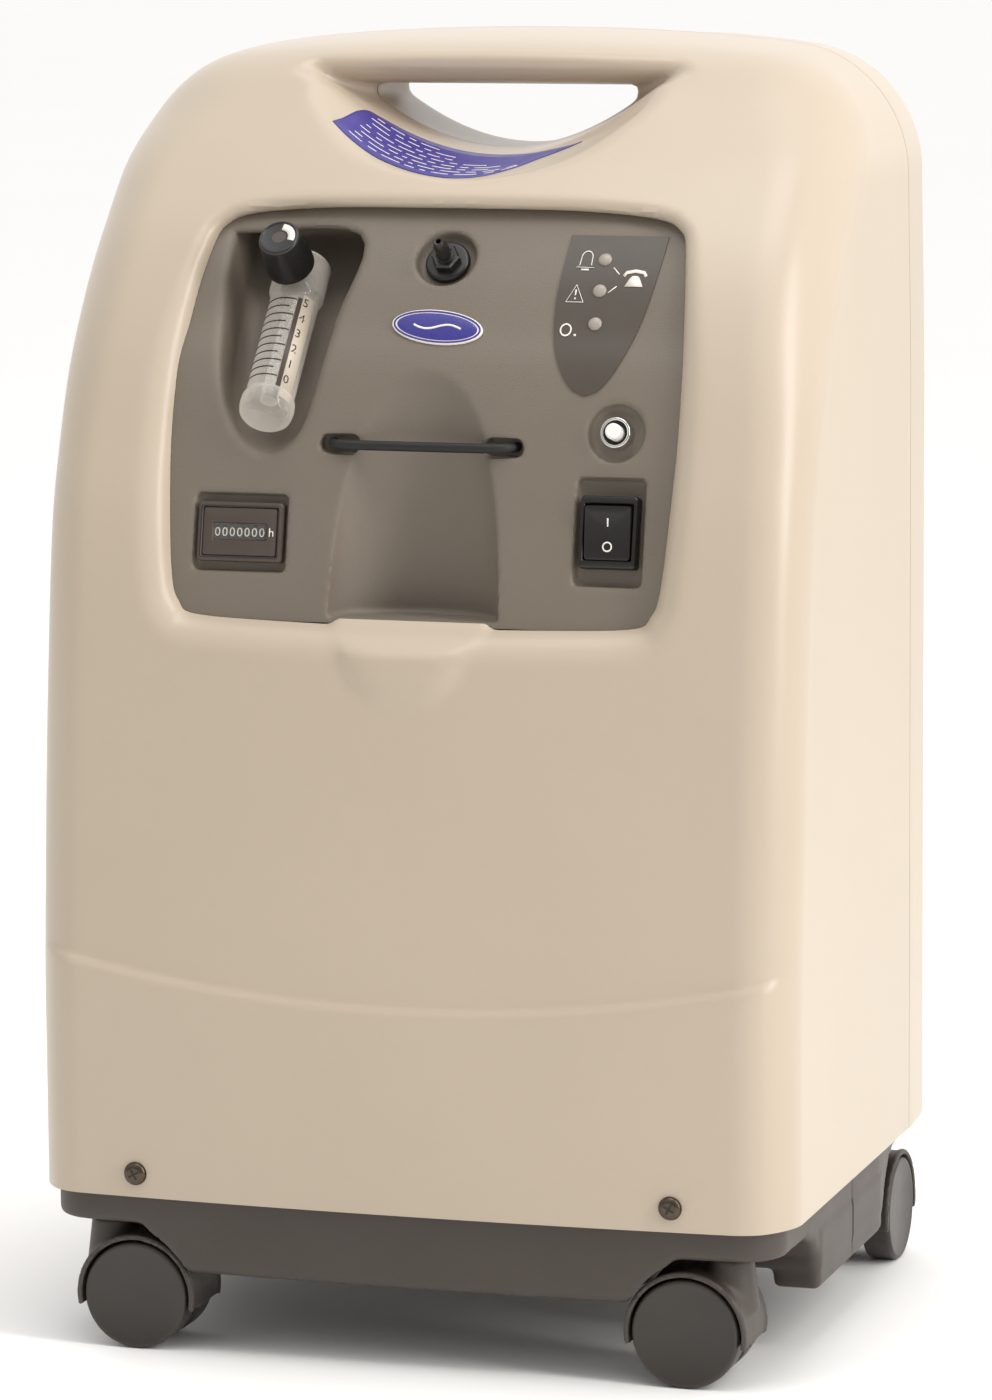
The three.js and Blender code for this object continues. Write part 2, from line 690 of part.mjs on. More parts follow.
function controlPanel() {
  const plate = prismY(grown(windowOutline, 6), -everywhere, 0).intersect(slab(PANEL_PROFILE, 0, PANEL_WALL));
  const behind = slab(PANEL_PROFILE, 0, 90);
  const sites = [OUTLET, BREAKER, SWITCH, METER];
  const cups = sites.map((site) => recess(site, POCKET_WALL));
  const walls = [niche(POCKET_WALL, 500), flowPocket(POCKET_WALL), ...cups];
  const recesses = sites.map((site) => recess(site, 0));
  const hollows = [niche(0, 520), flowPocket(0), ...recesses, ...strapSlots(0)];
  const body = join(plate, ...walls.map((wall) => wall.intersect(behind)));
  const gapTop = NICHE.floor - POCKET_WALL - GAP;
  const shelfGap = box([-SHELF_HALF - GAP, -200, 300], [SHELF_HALF + GAP, -118.9, gapTop]);
  const outletHole = rodGeometry(5, 5, 0, 20, 0, 0, 16).rotateX(-Math.PI / 2);
  const buttonHole = outletHole.clone().applyMatrix4(panelMatrix(BREAKER.x, BREAKER.z));
  outletHole.applyMatrix4(panelMatrix(OUTLET.x, OUTLET.z));
  return cut(body, shelfGap, ...hollows, solidOf(outletHole), solidOf(buttonHole));
}

// ---- what sits on the panel; local -Y points out of the face ----
function addOutlet() {
  const group = panelGroup(OUTLET);
  const seat = OUTLET.depth - GAP;
  const flange = [[4.6, seat - 3], [10, seat - 3], [11, seat - 2], [11, seat], [4.6, seat], [4.6, seat - 3]];
  add("outlet_flange", turnedY(flange), "dark", group);
  const ridges = [];
  for (const y of [-14, -10, -6]) ridges.push([2.5, y], [3.4, y + 3], [2.6, y + 3.2]);
  const profile = [[1.3, -14.5], ...ridges, [4.2, -1.5], [4.2, 20], [1.3, 20], [1.3, -14.5]];
  add("outlet_barb", turnedY(profile, 16), "chrome", group);
}

function addBreaker() {
  const group = panelGroup(BREAKER);
  const seat = BREAKER.depth - GAP;
  const ring = [[4.4, -1.5], [6.3, -1.5], [7.3, -0.5], [7.3, seat], [4.4, seat], [4.4, -1.5]];
  add("breaker_collar", turnedY(ring), "chrome", group);
  const button = [[0, -5.9], [3.4, -5.9], [4, -5.3], [4, 16], [0, 16], [0, -5.9]];
  add("breaker_button", turnedY(button, 20), "white", group);
}

const ROCKER = { halfX: 11.4, halfZ: 12.9, pivotY: 1.5 };
const ROCKER_TILT = THREE.MathUtils.degToRad(6); // switched off: the lower half is pressed in

function addSwitch() {
  const group = panelGroup(SWITCH);
  const seat = SWITCH.depth - GAP;
  const frame = boxGeometry([-14, -1.5, -17.2], [14, seat, 17.2]);
  const wellX = ROCKER.halfX + 0.5;
  const wellZ = ROCKER.halfZ + 0.6;
  const well = boxGeometry([-wellX, -5, -wellZ], [wellX, seat - 1, wellZ]);
  add("switch_bezel", cut(solidOf(frame), solidOf(well)), "black", group);
  const pivot = new THREE.Group();
  pivot.position.y = ROCKER.pivotY;
  pivot.rotation.x = ROCKER_TILT;
  group.add(pivot);
  const z = ROCKER.halfZ;
  const outline = [[-4.6, z - 1], [-4.2, z], [0, z], [2.4, 0], [0, -z], [-4.2, -z], [-4.6, 1 - z], [-3.2, 0]];
  add("switch_rocker", prismX(outline, -ROCKER.halfX, ROCKER.halfX), "black", pivot);
}

function addHourMeter() {
  const group = panelGroup(METER);
  const seat = METER.depth - GAP;
  const shell = boxGeometry([-21.5, -0.5, -14.3], [21.5, seat, 14.3]);
  const display = boxGeometry([-13, -5, -4.5], [14.5, 1.5, 3.8]);
  add("hour_meter_case", cut(solidOf(shell), solidOf(display)), "black", group);
  add("hour_meter_window", boxGeometry([-12.7, 0, -4.2], [14.2, 1.5 - GAP, 3.5]), "clear", group);
}

const LEDS = [["led_alarm", 529], ["led_warning", 515], ["led_oxygen", 500]];
const LED_X = 80;
const OVERLAY = [[61, 540.5], [109.5, 541], [105, 511.5], [95, 483], [80.6, 468], [65.7, 479.5], [59, 508]];

function addIndicators() {
  const holes = LEDS.map(([, z]) => solidOf(
    rodGeometry(3.7, 3.7, -10, 10, 0, 0, 16).rotateX(-Math.PI / 2).applyMatrix4(panelMatrix(LED_X, z)),
  ));
  const sheet = prismY(OVERLAY, -everywhere, 0).intersect(slab(PANEL_PROFILE, -0.9, -GAP));
  add("indicator_overlay", cut(sheet, ...holes), "dark");
  for (const [name, z] of LEDS) {
    const dome = [[0, -2.6], [1.8, -2.4], [3, -1.6], [3.3, -0.7], [0, -0.7], [0, -2.6]];
    add(name, turnedY(dome, 16), "lens", panelGroup({ x: LED_X, z }));
  }
}

function addBadge() {
  const disc = rodGeometry(1, 1, 0.7, 1.6, 0, 0, 32).rotateX(Math.PI / 2);
  add("panel_badge", disc.scale(23, 1, 9), "blue", panelGroup({ x: 2, z: 497 }));
}

function addStrap() {
  const half = [[46, -84], [46, -96], [43.5, -104], [36, -107], [18, -107.2]];
  const loop = [...half, ...half.map(([x, y]) => [-x, y]).reverse()];
  const points = loop.map(([x, y]) => [x, y, STRAP_Z]);
  add("bottle_strap", tube(points, 2.5, 28), "rubber");
}

// ---- flowmeter: Z runs up the tube, -Y towards the knob ----
const FLOW_FOOT = [-78, -108.6, 452.9];
const FLOW_LENGTH = 96;
const FLOW_R = 12;
const KNOB_Z = 81.3;
const KNOB_FACE = 38.9; // knob face from the tube's axis
const FLOAT_R = 4;
const FLOAT_FLOOR = 12;

function addFlowmeter() {
  const group = new THREE.Group();
  group.position.set(...FLOW_FOOT);
  group.rotation.x = -FLOW_TILT;
  model.add(group);
  const outline = [
    [0, 0],
    [9, 0],
    [13, 3],
    [13.4, 9],
    [FLOW_R, 14],
    [FLOW_R, 72],
    [13.5, 74],
    [13.5, FLOW_LENGTH - 2],
    [11.5, FLOW_LENGTH],
    [0, FLOW_LENGTH],
  ];
  const neck = solidOf(rodGeometry(7, 7, 5, 15.8, 0, 0, 20).rotateX(Math.PI / 2).translate(0, 0, KNOB_Z));
  const bore = rod(FLOAT_R + 0.5, FLOAT_R + 0.8, FLOAT_FLOOR, 72, 0, 0, 16);
  const port = pinY(2, 0, 20, 0, FLOAT_FLOOR + 3, 12);
  add("flowmeter_body", cut(join(turned(outline, 28), neck), bore, port), "clear", group);
  const ball = new THREE.SphereGeometry(FLOAT_R, 14, 8).translate(0, 0, FLOAT_FLOOR + FLOAT_R + GAP);
  add("flowmeter_float", solidOf(ball), "black", group);
  const knobBack = KNOB_FACE - 16.2;
  const rim = [[12, knobBack - 2.3], [12, knobBack]];
  const grip = turnedY([[0, 0], [8.6, 0], [9.7, 1], ...rim, [0, knobBack], [0, 0]], 32);
  const knob = new THREE.Group();
  knob.position.set(0, -KNOB_FACE, KNOB_Z);
  group.add(knob);
  add("flowmeter_knob", grip, "black", knob);
}

// ---- trim ----
// The label's outline seen from above: the edge along the scoop's rim, then its back edge.
const LABEL = [
  [-74, -13],
  [-49, -28],
  [-27, -36],
  [-2, -39.5],
  [11, -36],
  [22, -26.5],
  [32.5, -14.5],
  [52, -7],
  [35.5, -1.8],
  [9.5, 6],
  [-14, 11],
  [-44, 15.4],
  [-63.5, 17],
];

function handleLabel() {
  const skin = cut(scoopSolid(-GAP), scoopSolid(-GAP - 0.7));
  return skin.intersect(prismZ(LABEL, 540, 600));
}

function coverScrew(side) {
  const head = [[0, 0], [3.5, 0.2], [5.4, 1.4], [5.85, 3], [2.5, 3], [2.5, 20], [0, 20], [0, 0]];
  const y = FRONT_Y + CROWN * (SCREW_X / (HALF_WIDTH - cornerRadius(SCREW_Z))) ** 2 - GAP - 3;
  return turnedY(head, 16).translate([side * SCREW_X, y, SCREW_Z]);
}

// ---- inside ----
const PUMP = { x: 0, y: 20, z: 118 };
const BED = { x: 130, y: 62, r: 38, bottom: 70, top: 420 };
const FAN_Z = 206;
const FAN_R = 54;

function compressor() {
  const motor = solidOf(rodGeometry(38, 38, -48, 48, 0, 0, 28).rotateY(Math.PI / 2));
  const ends = [-1, 1].flatMap((side) => {
    const [x0, x1] = [side * 40, side * 72].sort((p, q) => p - q);
    return [box([x0, -30, -36], [x1, 30, 40]), box([x0 + 2, -24, 38], [x1 - 2, 24, 78])];
  });
  const plate = box([-80, -46, -56], [80, 46, -52]);
  const legs = [-1, 1].map((side) => box([side * 50 - 12, -28, -54], [side * 50 + 12, 28, -20]));
  return join(motor, ...ends, plate, ...legs).translate([PUMP.x, PUMP.y, PUMP.z]);
}

function sieveBed(side) {
  const { r, bottom, top } = BED;
  const profile = [[0, bottom], [r - 4, bottom], [r, bottom + 4], [r, top - 4], [r - 4, top], [0, top]];
  return turned(profile, 28).translate([side * BED.x, BED.y, 0]);
}

function valveManifold() {
  const rail = box([-150, 44, BED.top + GAP], [150, 80, BED.top + 20]);
  const solenoids = [-70, -25, 25, 70].map((x) => rod(12, 12, BED.top + 15, BED.top + 50, x, 62, 16));
  return join(rail, ...solenoids);
}

function circuitBoard() {
  const board = box([-55, -80, 372], [100, -78.4, 440]);
  const parts = [
    box([-45, -79, 380], [-20, -64, 400]),
    box([0, -79, 395], [22, -70, 425]),
    box([60, -79, 380], [88, -60, 420]),
  ];
  return join(board, ...parts);
}

function fanHousing() {
  const frame = box([-60, -40, FAN_Z], [60, 80, FAN_Z + 25]);
  const ring = cut(frame, rod(FAN_R + 3, FAN_R + 3, FAN_Z - 5, FAN_Z + 30, 0, 20, 28));
  const spokes = [0, 1].map((i) => {
    const spoke = boxGeometry([-58, -3, FAN_Z], [58, 3, FAN_Z + 2]).rotateZ((i * Math.PI) / 2);
    return solidOf(spoke.translate(0, 20, 0));
  });
  return join(ring, ...spokes, rod(16, 16, FAN_Z, FAN_Z + 4, 0, 20));
}

function fanBlades() {
  const hub = rod(18, 17, FAN_Z + 5, FAN_Z + 23);
  const blades = [];
  for (let i = 0; i < 7; i++) {
    const blade = boxGeometry([14, -9, -0.9], [FAN_R - 1, 9, 0.9]).rotateX(0.6);
    blade.rotateZ((i * 2 * Math.PI) / 7);
    blades.push(solidOf(blade.translate(0, 0, FAN_Z + 14)));
  }
  return join(hub, ...blades).translate([0, 20, 0]);
}

function heatExchanger() {
  const plate = box([-60, -72, 96], [60, -68, 176]);
  const fins = [];
  for (let i = 0; i < 9; i++) fins.push(box([-58 + i * 14, -94, 98], [-55 + i * 14, -70, 174]));
  return join(plate, ...fins);
}

function powerInlet() {
  const flange = box([45, REAR_Y + GAP, 98], [91, REAR_Y + 2.5, 136]);
  const body = box([52.4, 128, 104.4], [83.6, REAR_Y + 2, 129.6]);
  const socket = box([56, 134, 108], [80, REAR_Y + 10, 126]);
  const at = [[61, 115], [68, 120], [75, 115]];
  const pins = at.map(([x, z]) => box([x - 1, 131, z - 2], [x + 1, 150, z + 2]));
  return join(cut(join(flange, body), socket), ...pins);
}

function filterDoor() {
  const panel = box([-51.5, 148, 398.5], [51.5, REAR_Y + 1.5, 481.5]);
  const louvres = [];
  for (let i = 0; i < 6; i++) louvres.push(box([-44, 140, 406 + i * 12], [44, 160, 412 + i * 12]));
  return cut(panel, ...louvres);
}

function addInside() {
  add("compressor", compressor(), "aluminium");
  let count = 0;
  for (const x of [-64, 64]) {
    for (const y of [-16, 56]) {
      count += 1;
      add(`compressor_mount_${count}`, rod(9, 9, 44 + GAP, PUMP.z - 56 - GAP, x, y, 16), "rubber");
    }
  }
  add("sieve_bed_left", sieveBed(-1), "white");
  add("sieve_bed_right", sieveBed(1), "white");
  const tank = [[0, 245], [30, 245], [34, 250], [34, 405], [30, 410], [0, 410]];
  add("product_tank", turned(tank, 24).translate([0, 66, 0]), "white");
  add("valve_manifold", valveManifold(), "aluminium");
  add("circuit_board", circuitBoard(), "board");
  add("fan_housing", fanHousing(), "black");
  add("fan_blades", fanBlades(), "black");
  add("heat_exchanger", heatExchanger(), "aluminium");
  const route = [[31, 385], [18, 387], [2, 410], [-8, 450], [-14, 480], [-30, 505], [-44, 515.5]];
  add("product_hose", tube(route.map(([y, z]) => [0, y, z]), 3, 18), "clear");
  add("power_inlet", powerInlet(), "black");
  add("filter_door", filterDoor(), "beige");
}

add("front_cover", frontCover(), "beige");
add("rear_cover", rearCover(), "beige");
add("base_tub", baseTub(), "dark");
casters.forEach(addCaster);
add("control_panel", controlPanel(), "taupe");
addOutlet();
addBreaker();
addSwitch();
addHourMeter();
addIndicators();
addBadge();
addStrap();
addFlowmeter();
add("handle_label", handleLabel(), "blue");
add("cover_screw_left", coverScrew(-1), "steel");
add("cover_screw_right", coverScrew(1), "steel");
addInside();

export default model;
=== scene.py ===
"""A home oxygen concentrator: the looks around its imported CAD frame.

Shapes are worked out in millimetres in the frame's own axes (+Z up, the front faces -Y), then written in
metres. Moulded shells are surfaces of distance fields, which are negative inside the solid.
"""

import math

import bpy
import numpy as np
from mathutils import Matrix, Vector


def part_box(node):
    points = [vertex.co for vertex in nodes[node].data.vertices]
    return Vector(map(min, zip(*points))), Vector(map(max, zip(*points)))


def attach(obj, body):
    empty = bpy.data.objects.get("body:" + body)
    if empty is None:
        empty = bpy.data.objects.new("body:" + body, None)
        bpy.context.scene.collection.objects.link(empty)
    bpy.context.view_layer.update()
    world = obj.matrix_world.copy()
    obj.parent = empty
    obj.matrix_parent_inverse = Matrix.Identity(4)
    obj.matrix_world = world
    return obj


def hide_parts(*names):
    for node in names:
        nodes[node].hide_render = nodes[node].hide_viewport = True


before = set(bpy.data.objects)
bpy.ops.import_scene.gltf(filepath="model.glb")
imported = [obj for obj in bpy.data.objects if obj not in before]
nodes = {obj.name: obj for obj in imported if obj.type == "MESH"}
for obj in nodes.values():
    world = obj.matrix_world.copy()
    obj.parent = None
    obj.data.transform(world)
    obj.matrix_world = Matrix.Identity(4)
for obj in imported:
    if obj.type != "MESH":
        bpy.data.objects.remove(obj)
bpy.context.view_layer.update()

# ---- driving dimensions, mm ----
MM = 0.001
SEAM_Y = 97.0
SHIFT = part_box("front_cover")[1].y / MM - SEAM_Y  # the frame's own shift of the object along Y
HALF_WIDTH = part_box("front_cover")[1].x / MM
TOP_Z = 633.0
FRONT_Y = -152.5
REAR_Y = 152.5
COVER_BOTTOM = 78.0
CROWN = 5.0
SHOULDER_R = 65.0
BAND_RISE = 2.6  # the lower band stands this far proud of the front
TUNNEL_SEAM = 37.0
WALL = 3.0
GAP = 0.35
KEEP = -50.0  # a trimming value for points that stay
SCREW_X = 134.5
SCREW_Z = 89.7
FLOW_TILT = math.radians(42)
FLOW_FOOT = (-78.0, -108.6, 452.9)
WHEEL_R = 26.5
CASTER_TRAIL = 18.0
STEM_X = 157.0
STEM_FRONT_Y = -121.0
STEM_REAR_Y = 119.0
FRONT_CORNER_X = 163.0  # where the front's crown and creases start to turn into the corners
COVER_STEP, PANEL_STEP, BASE_STEP, HOOD_STEP = 2.6, 1.6, 2.0, 1.25  # grid steps of the moulded surfaces

# Side view of the front above its lower band, from the bottom edge over the top: (y, z).
FRONT_PROFILE = [
    (-149.9, 60), (-149.9, 150), (-149.6, 185), (-146, 245), (-140, 315), (-130, 397), (-118, 443),
    (-102, 487), (-76, 530), (-45, 565), (-10, 598), (14, 622), (33, 634), (62, 641), (97, 645),
]
# Side view of the control panel's face: (y, z).
PANEL_PROFILE = [
    (-125, 342), (-121.5, 361), (-114.5, 400), (-104.5, 443), (-94, 477), (-83, 497), (-70, 520),
    (-54, 541), (-34, 564),
]
# Right half of the panel window from the top centre clockwise: (x, z).
WINDOW_HALF = [
    (0, 551.5), (60, 551), (100, 548), (114, 543), (119, 533), (123, 500), (125, 450), (124, 410),
    (121, 378), (117, 367), (108, 361.5), (60, 359), (0, 358),
]
# The grip scoop and the tunnel behind it: (y, half width, side height, floor height, top height).
SCOOP = [
    (-62, 25, 575, 561.5, 680), (-45, 30, 571, 564.5, 680), (-39, 60, 576.5, 565.5, 680),
    (-31, 75, 584, 567, 680), (-18, 84, 594.5, 569, 680), (-5, 93, 605.5, 571.5, 680),
    (6, 97, 617, 573.5, 672), (12, 97, 619, 574.3, 630), (18, 92, 613, 575, 614.5),
    (26, 80, 605, 575.8, 609), (36, 67, 600, 576.3, 607), (84, 66, 600, 576, 607),
    (97, 74, 600, 573, 616), (112, 86, 603, 567, 650), (160, 104, 608, 556, 680),
]


# ---- numbers and fields ----
def smoothstep(x, a, b):
    t = np.clip((x - a) / (b - a), 0, 1)
    return t * t * (3 - 2 * t)


def smooth_max(a, b, k):
    """The larger of two fields, with the crease between them eased over k."""
    h = np.clip(0.5 + 0.5 * (a - b) / k, 0, 1)
    return a * h + b * (1 - h) + k * h * (1 - h)


def smooth_min(a, b, k):
    return -smooth_max(-a, -b, k)


def round_max(a, b, r):
    """Where two fields are both negative, with the edge between them rounded to a radius."""
    return np.minimum(np.maximum(a, b), -r) + np.sqrt(np.maximum(a + r, 0) ** 2 + np.maximum(b + r, 0) ** 2)


def spline(points, steps=8):
    """A Catmull-Rom curve through points."""
    p = np.array(points, float)
    p = np.vstack([2 * p[0] - p[1], p, 2 * p[-1] - p[-2]])
    t = np.linspace(0, 1, steps, endpoint=False)[:, None]
    rows = []
    for a, b, c, d in zip(p, p[1:], p[2:], p[3:]):
        bend = (2 * a - 5 * b + 4 * c - d) * t**2 + (3 * b - a - 3 * c + d) * t**3
        rows.append(0.5 * (2 * b + (c - a) * t + bend))
    return np.vstack(rows + [p[-2:-1]])


def mirrored(half):
    return [*half, *[(-a, b) for a, b in half[-2:0:-1]]]


def polygon_distance(polygon, a, b):
    """Distance from points (a, b) to a closed polygon, negative inside it."""
    best = np.full(np.broadcast(a, b).shape, 1e12)
    inside = np.zeros(best.shape, bool)
    for (a0, b0), (a1, b1) in zip(polygon, np.roll(polygon, -1, axis=0)):
        da, db = a1 - a0, b1 - b0
        t = np.clip(((a - a0) * da + (b - b0) * db) / (da * da + db * db), 0, 1)
        best = np.minimum(best, (a - a0 - t * da) ** 2 + (b - b0 - t * db) ** 2)
        if db:
            inside ^= ((b0 > b) != (b1 > b)) & (a < a0 + (b - b0) * da / db)
    return np.where(inside, -1, 1) * np.sqrt(best)


class Outline:
    """Signed distance to a closed polygon, read from a 1 mm table."""

    def __init__(self, polygon, low, high):
        self.low = np.array(low, float)
        self.size = np.array(high) - np.array(low)
        a = np.arange(self.size[0] + 1)[:, None] + low[0]
        b = np.arange(self.size[1] + 1)[None, :] + low[1]
        self.table = polygon_distance(np.array(polygon, float), a, b)

    def __call__(self, a, b):
        u = np.clip(a - self.low[0], 0, self.size[0] - 1.001)
        v = np.clip(b - self.low[1], 0, self.size[1] - 1.001)
        i, j = u.astype(int), v.astype(int)
        u, v = u - i, v - j
        t = self.table
        return (
            t[i, j] * (1 - u) * (1 - v) + t[i + 1, j] * u * (1 - v)
            + t[i, j + 1] * (1 - u) * v + t[i + 1, j + 1] * u * v
        )


# ---- meshes from fields ----
def surface_net(field, low, high, step):
    """Points and outward quads on the surface where a field is 0, inside a box."""
    axes = [np.arange(a, b + step, step) for a, b in zip(low, high)]
    x, y, z = np.meshgrid(*axes, indexing="ij", sparse=True)
    value = np.broadcast_to(field(x, y, z), [len(a) for a in axes])
    inside = value < 0
    cells = np.array(value.shape) - 1
    crossings = []
    for axis in range(3):
        a = np.take(inside, range(0, inside.shape[axis] - 1), axis)
        b = np.take(inside, range(1, inside.shape[axis]), axis)
        at = np.argwhere(a != b)
        after = at.copy()
        after[:, axis] += 1
        near, far = value[tuple(at.T)], value[tuple(after.T)]
        point = at.astype(float)
        point[:, axis] += near / (near - far)
        u, v = (axis + 1) % 3, (axis + 2) % 3
        ring = []
        for du, dv in ((0, 0), (-1, 0), (-1, -1), (0, -1)):
            cell = at.copy()
            cell[:, u] += du
            cell[:, v] += dv
            ring.append(cell)
        ring = np.stack(ring, 1)
        whole = ((ring >= 0) & (ring < cells)).all((1, 2))
        ring, point, outward = ring[whole], point[whole], (near < 0)[whole]
        ring[~outward] = ring[~outward][:, ::-1]
        crossings.append((ring, point))
    flat = np.concatenate([np.ravel_multi_index(ring.reshape(-1, 3).T, cells) for ring, _ in crossings])
    points = np.concatenate([np.repeat(point, 4, axis=0) for _, point in crossings])
    _, index = np.unique(flat, return_inverse=True)
    index = index.reshape(-1)
    count = np.bincount(index)
    mean = np.stack([np.bincount(index, points[:, k]) / count for k in range(3)], 1)
    return mean * step + np.array([a[0] for a in axes]), index.reshape(-1, 4)


def gradient(field, points):
    e = 0.4
    parts = []
    for k in range(3):
        d = np.zeros(3)
        d[k] = e
        parts.append((field(*(points + d).T) - field(*(points - d).T)) / (2 * e))
    return np.stack(parts, 1)


def settle(field, points, most, rounds=3):
    """Moves points onto the surface of a field, each at most so far a round."""
    for _ in range(rounds):
        g = gradient(field, points)
        length = np.maximum((g**2).sum(1), 0.04)
        move = (field(*points.T) / length)[:, None] * g
        size = np.sqrt((move**2).sum(1))
        points = points - move * np.minimum(1, most / np.maximum(size, 1e-9))[:, None]
    return points


def skin(field, low, high, step, most):
    """The triangles of a field's surface inside a box."""
    points, quads = surface_net(field, low, high, step)
    faces = triangles(points, quads)
    return settle(field, points, most), faces


def triangles(points, quads):
    """Quads split along their shorter diagonals."""
    a, b, c, d = (points[quads[:, k]] for k in range(4))
    first = ((a - c) ** 2).sum(1) <= ((b - d) ** 2).sum(1)
    q, r = quads[first], quads[~first]
    return np.concatenate([q[:, [0, 1, 2]], q[:, [0, 2, 3]], r[:, [0, 1, 3]], r[:, [1, 2, 3]]])


def trim(points, faces, value):
    """Triangles cut along the line where a value at each point is 0; the negative side is kept."""
    near = np.abs(value) < 0.12
    value = np.where(near, -1e-9, value)
    below = value[faces] < 0
    count = below.sum(1)
    kept = [faces[count == 3]]
    for odd in (1, 2):
        part = faces[count == odd]
        if not len(part):
            continue
        lone = below[count == odd] if odd == 1 else ~below[count == odd]
        first = lone.argmax(1)
        turned = np.stack([part[np.arange(len(part)), (first + k) % 3] for k in range(3)], 1)
        edges = np.concatenate([turned[:, [0, 1]], turned[:, [0, 2]]])
        pairs, index = np.unique(np.sort(edges, 1), axis=0, return_inverse=True)
        index = index.reshape(-1)
        v0, v1 = value[pairs[:, 0]], value[pairs[:, 1]]
        share = (v0 / (v0 - v1))[:, None]
        fresh = points[pairs[:, 0]] * (1 - share) + points[pairs[:, 1]] * share
        index += len(points)
        points = np.concatenate([points, fresh])
        value = np.concatenate([value, np.zeros(len(fresh))])
        p, q = index[: len(turned)], index[len(turned):]
        if odd == 1:
            kept.append(np.stack([turned[:, 0], p, q], 1))
        else:
            kept += [np.stack([p, turned[:, 1], turned[:, 2]], 1), np.stack([p, turned[:, 2], q], 1)]
    return points, np.concatenate(kept)


def tidy(points, faces):
    """The same mesh with coincident points merged and unused points and empty faces left out."""
    key = np.round(points / 0.04).astype(np.int64)
    _, first, index = np.unique(key, axis=0, return_index=True, return_inverse=True)
    faces = index.reshape(-1)[faces]
    whole = (faces[:, 0] != faces[:, 1]) & (faces[:, 1] != faces[:, 2]) & (faces[:, 2] != faces[:, 0])
    faces = faces[whole]
    used, inverse = np.unique(faces, return_inverse=True)
    return points[first][used], inverse.reshape(-1, 3)


def biggest(points, faces):
    """The largest connected part of a mesh."""
    label = np.arange(len(points))
    while True:
        low = label[faces].min(1)
        fresh = label.copy()
        for k in range(3):
            np.minimum.at(fresh, faces[:, k], low)
        fresh = fresh[fresh]
        if (fresh == label).all():
            break
        label = fresh
    root = label[faces[:, 0]]
    names, count = np.unique(root, return_counts=True)
    return tidy(points, faces[root == names[count.argmax()]])


def point_normals(points, faces):
    a, b, c = (points[faces[:, k]] for k in range(3))
    face_normal = np.cross(b - a, c - a)
    normal = np.zeros_like(points)
    for k in range(3):
        np.add.at(normal, faces[:, k], face_normal)
    return normal / np.maximum(np.linalg.norm(normal, axis=1), 1e-12)[:, None]


def thicken(points, faces, wall):
    """An open sheet given a wall on its inner side, with a closed rim."""
    inner = points - point_normals(points, faces) * wall
    count = len(points)
    edges = np.concatenate([faces[:, [0, 1]], faces[:, [1, 2]], faces[:, [2, 0]]])
    key = np.sort(edges, 1)
    _, index, times = np.unique(key, axis=0, return_index=True, return_counts=True)
    rim = edges[index[times == 1]]
    a, b = rim[:, 0], rim[:, 1]
    sides = np.concatenate([np.stack([b, a, a + count], 1), np.stack([b, a + count, b + count], 1)])
    return np.concatenate([points, inner]), np.concatenate([faces, faces[:, ::-1] + count, sides])


# ---- Blender pieces ----
def piece(name, part, material, replaces=None, body="cabinet", sharp=38, matrix=None):
    """A mesh object from millimetre points before the frame's shift, riding on a body."""
    mesh = bpy.data.meshes.new(name)
    at = np.array(part[0], float)
    if matrix is not None:
        m = np.array(matrix)
        at = at @ m[:3, :3].T + m[:3, 3]
    at = (at + np.array([0, SHIFT, 0])) * MM
    mesh.from_pydata(at.tolist(), [], [list(map(int, f)) for f in part[1]])
    mesh.validate()
    mesh.update()
    mesh.shade_smooth()
    if sharp:
        mesh.set_sharp_from_angle(angle=math.radians(sharp))
    mesh.materials.append(material)
    made = bpy.data.objects.new(name, mesh)
    bpy.context.scene.collection.objects.link(made)
    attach(made, body)
    if replaces:
        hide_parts(replaces)


def lathe(profile, sides=48, axis="y"):
    """Points and faces of a (radius, height) profile turned about Y or Z."""
    points, faces, rings = [], [], []
    for r, h in profile:
        if abs(r) < 1e-6:
            rings.append([len(points)])
            points.append((0, 0, h))
            continue
        rings.append(list(range(len(points), len(points) + sides)))
        for i in range(sides):
            a = 2 * math.pi * i / sides
            points.append((r * math.cos(a), r * math.sin(a), h))
    for low, high in zip(rings, rings[1:]):
        for i in range(sides):
            j = (i + 1) % sides
            if len(low) == 1 and len(high) == 1:
                continue
            if len(low) == 1:
                faces.append((low[0], high[j], high[i]))
            elif len(high) == 1:
                faces.append((low[i], low[j], high[0]))
            else:
                faces.append((low[i], low[j], high[j], high[i]))
    if axis == "y":
        points = [(x, h, -y) for x, y, h in points]
    return points, faces


def rounded(profile, radius, steps=4):
    """A polyline with each inner corner rounded."""
    out = [tuple(profile[0])]
    for a, b, c in zip(profile, profile[1:], profile[2:]):
        a, b, c = np.array(a, float), np.array(b, float), np.array(c, float)
        into, on = a - b, c - b
        reach = min(radius, 0.45 * np.linalg.norm(into), 0.45 * np.linalg.norm(on))
        p = b + into / np.linalg.norm(into) * reach
        q = b + on / np.linalg.norm(on) * reach
        for i in range(steps + 1):
            t = i / steps
            out.append(tuple((1 - t) ** 2 * p + 2 * t * (1 - t) * b + t * t * q))
    return [*out, tuple(profile[-1])]


def loops(rings):
    """A skin through outlines with equal counts; the first is closed behind and the last in front."""
    count = len(rings[0])
    points = [p for ring in rings for p in ring]
    faces = [tuple(range(count))[::-1]]
    for k in range(len(rings) - 1):
        for i in range(count):
            j = (i + 1) % count
            faces.append((k * count + i, k * count + j, (k + 1) * count + j, (k + 1) * count + i))
    faces.append(tuple(range((len(rings) - 1) * count, len(rings) * count)))
    return points, faces


def at_height(outline, h):
    return [(a, b, h) for a, b in outline]


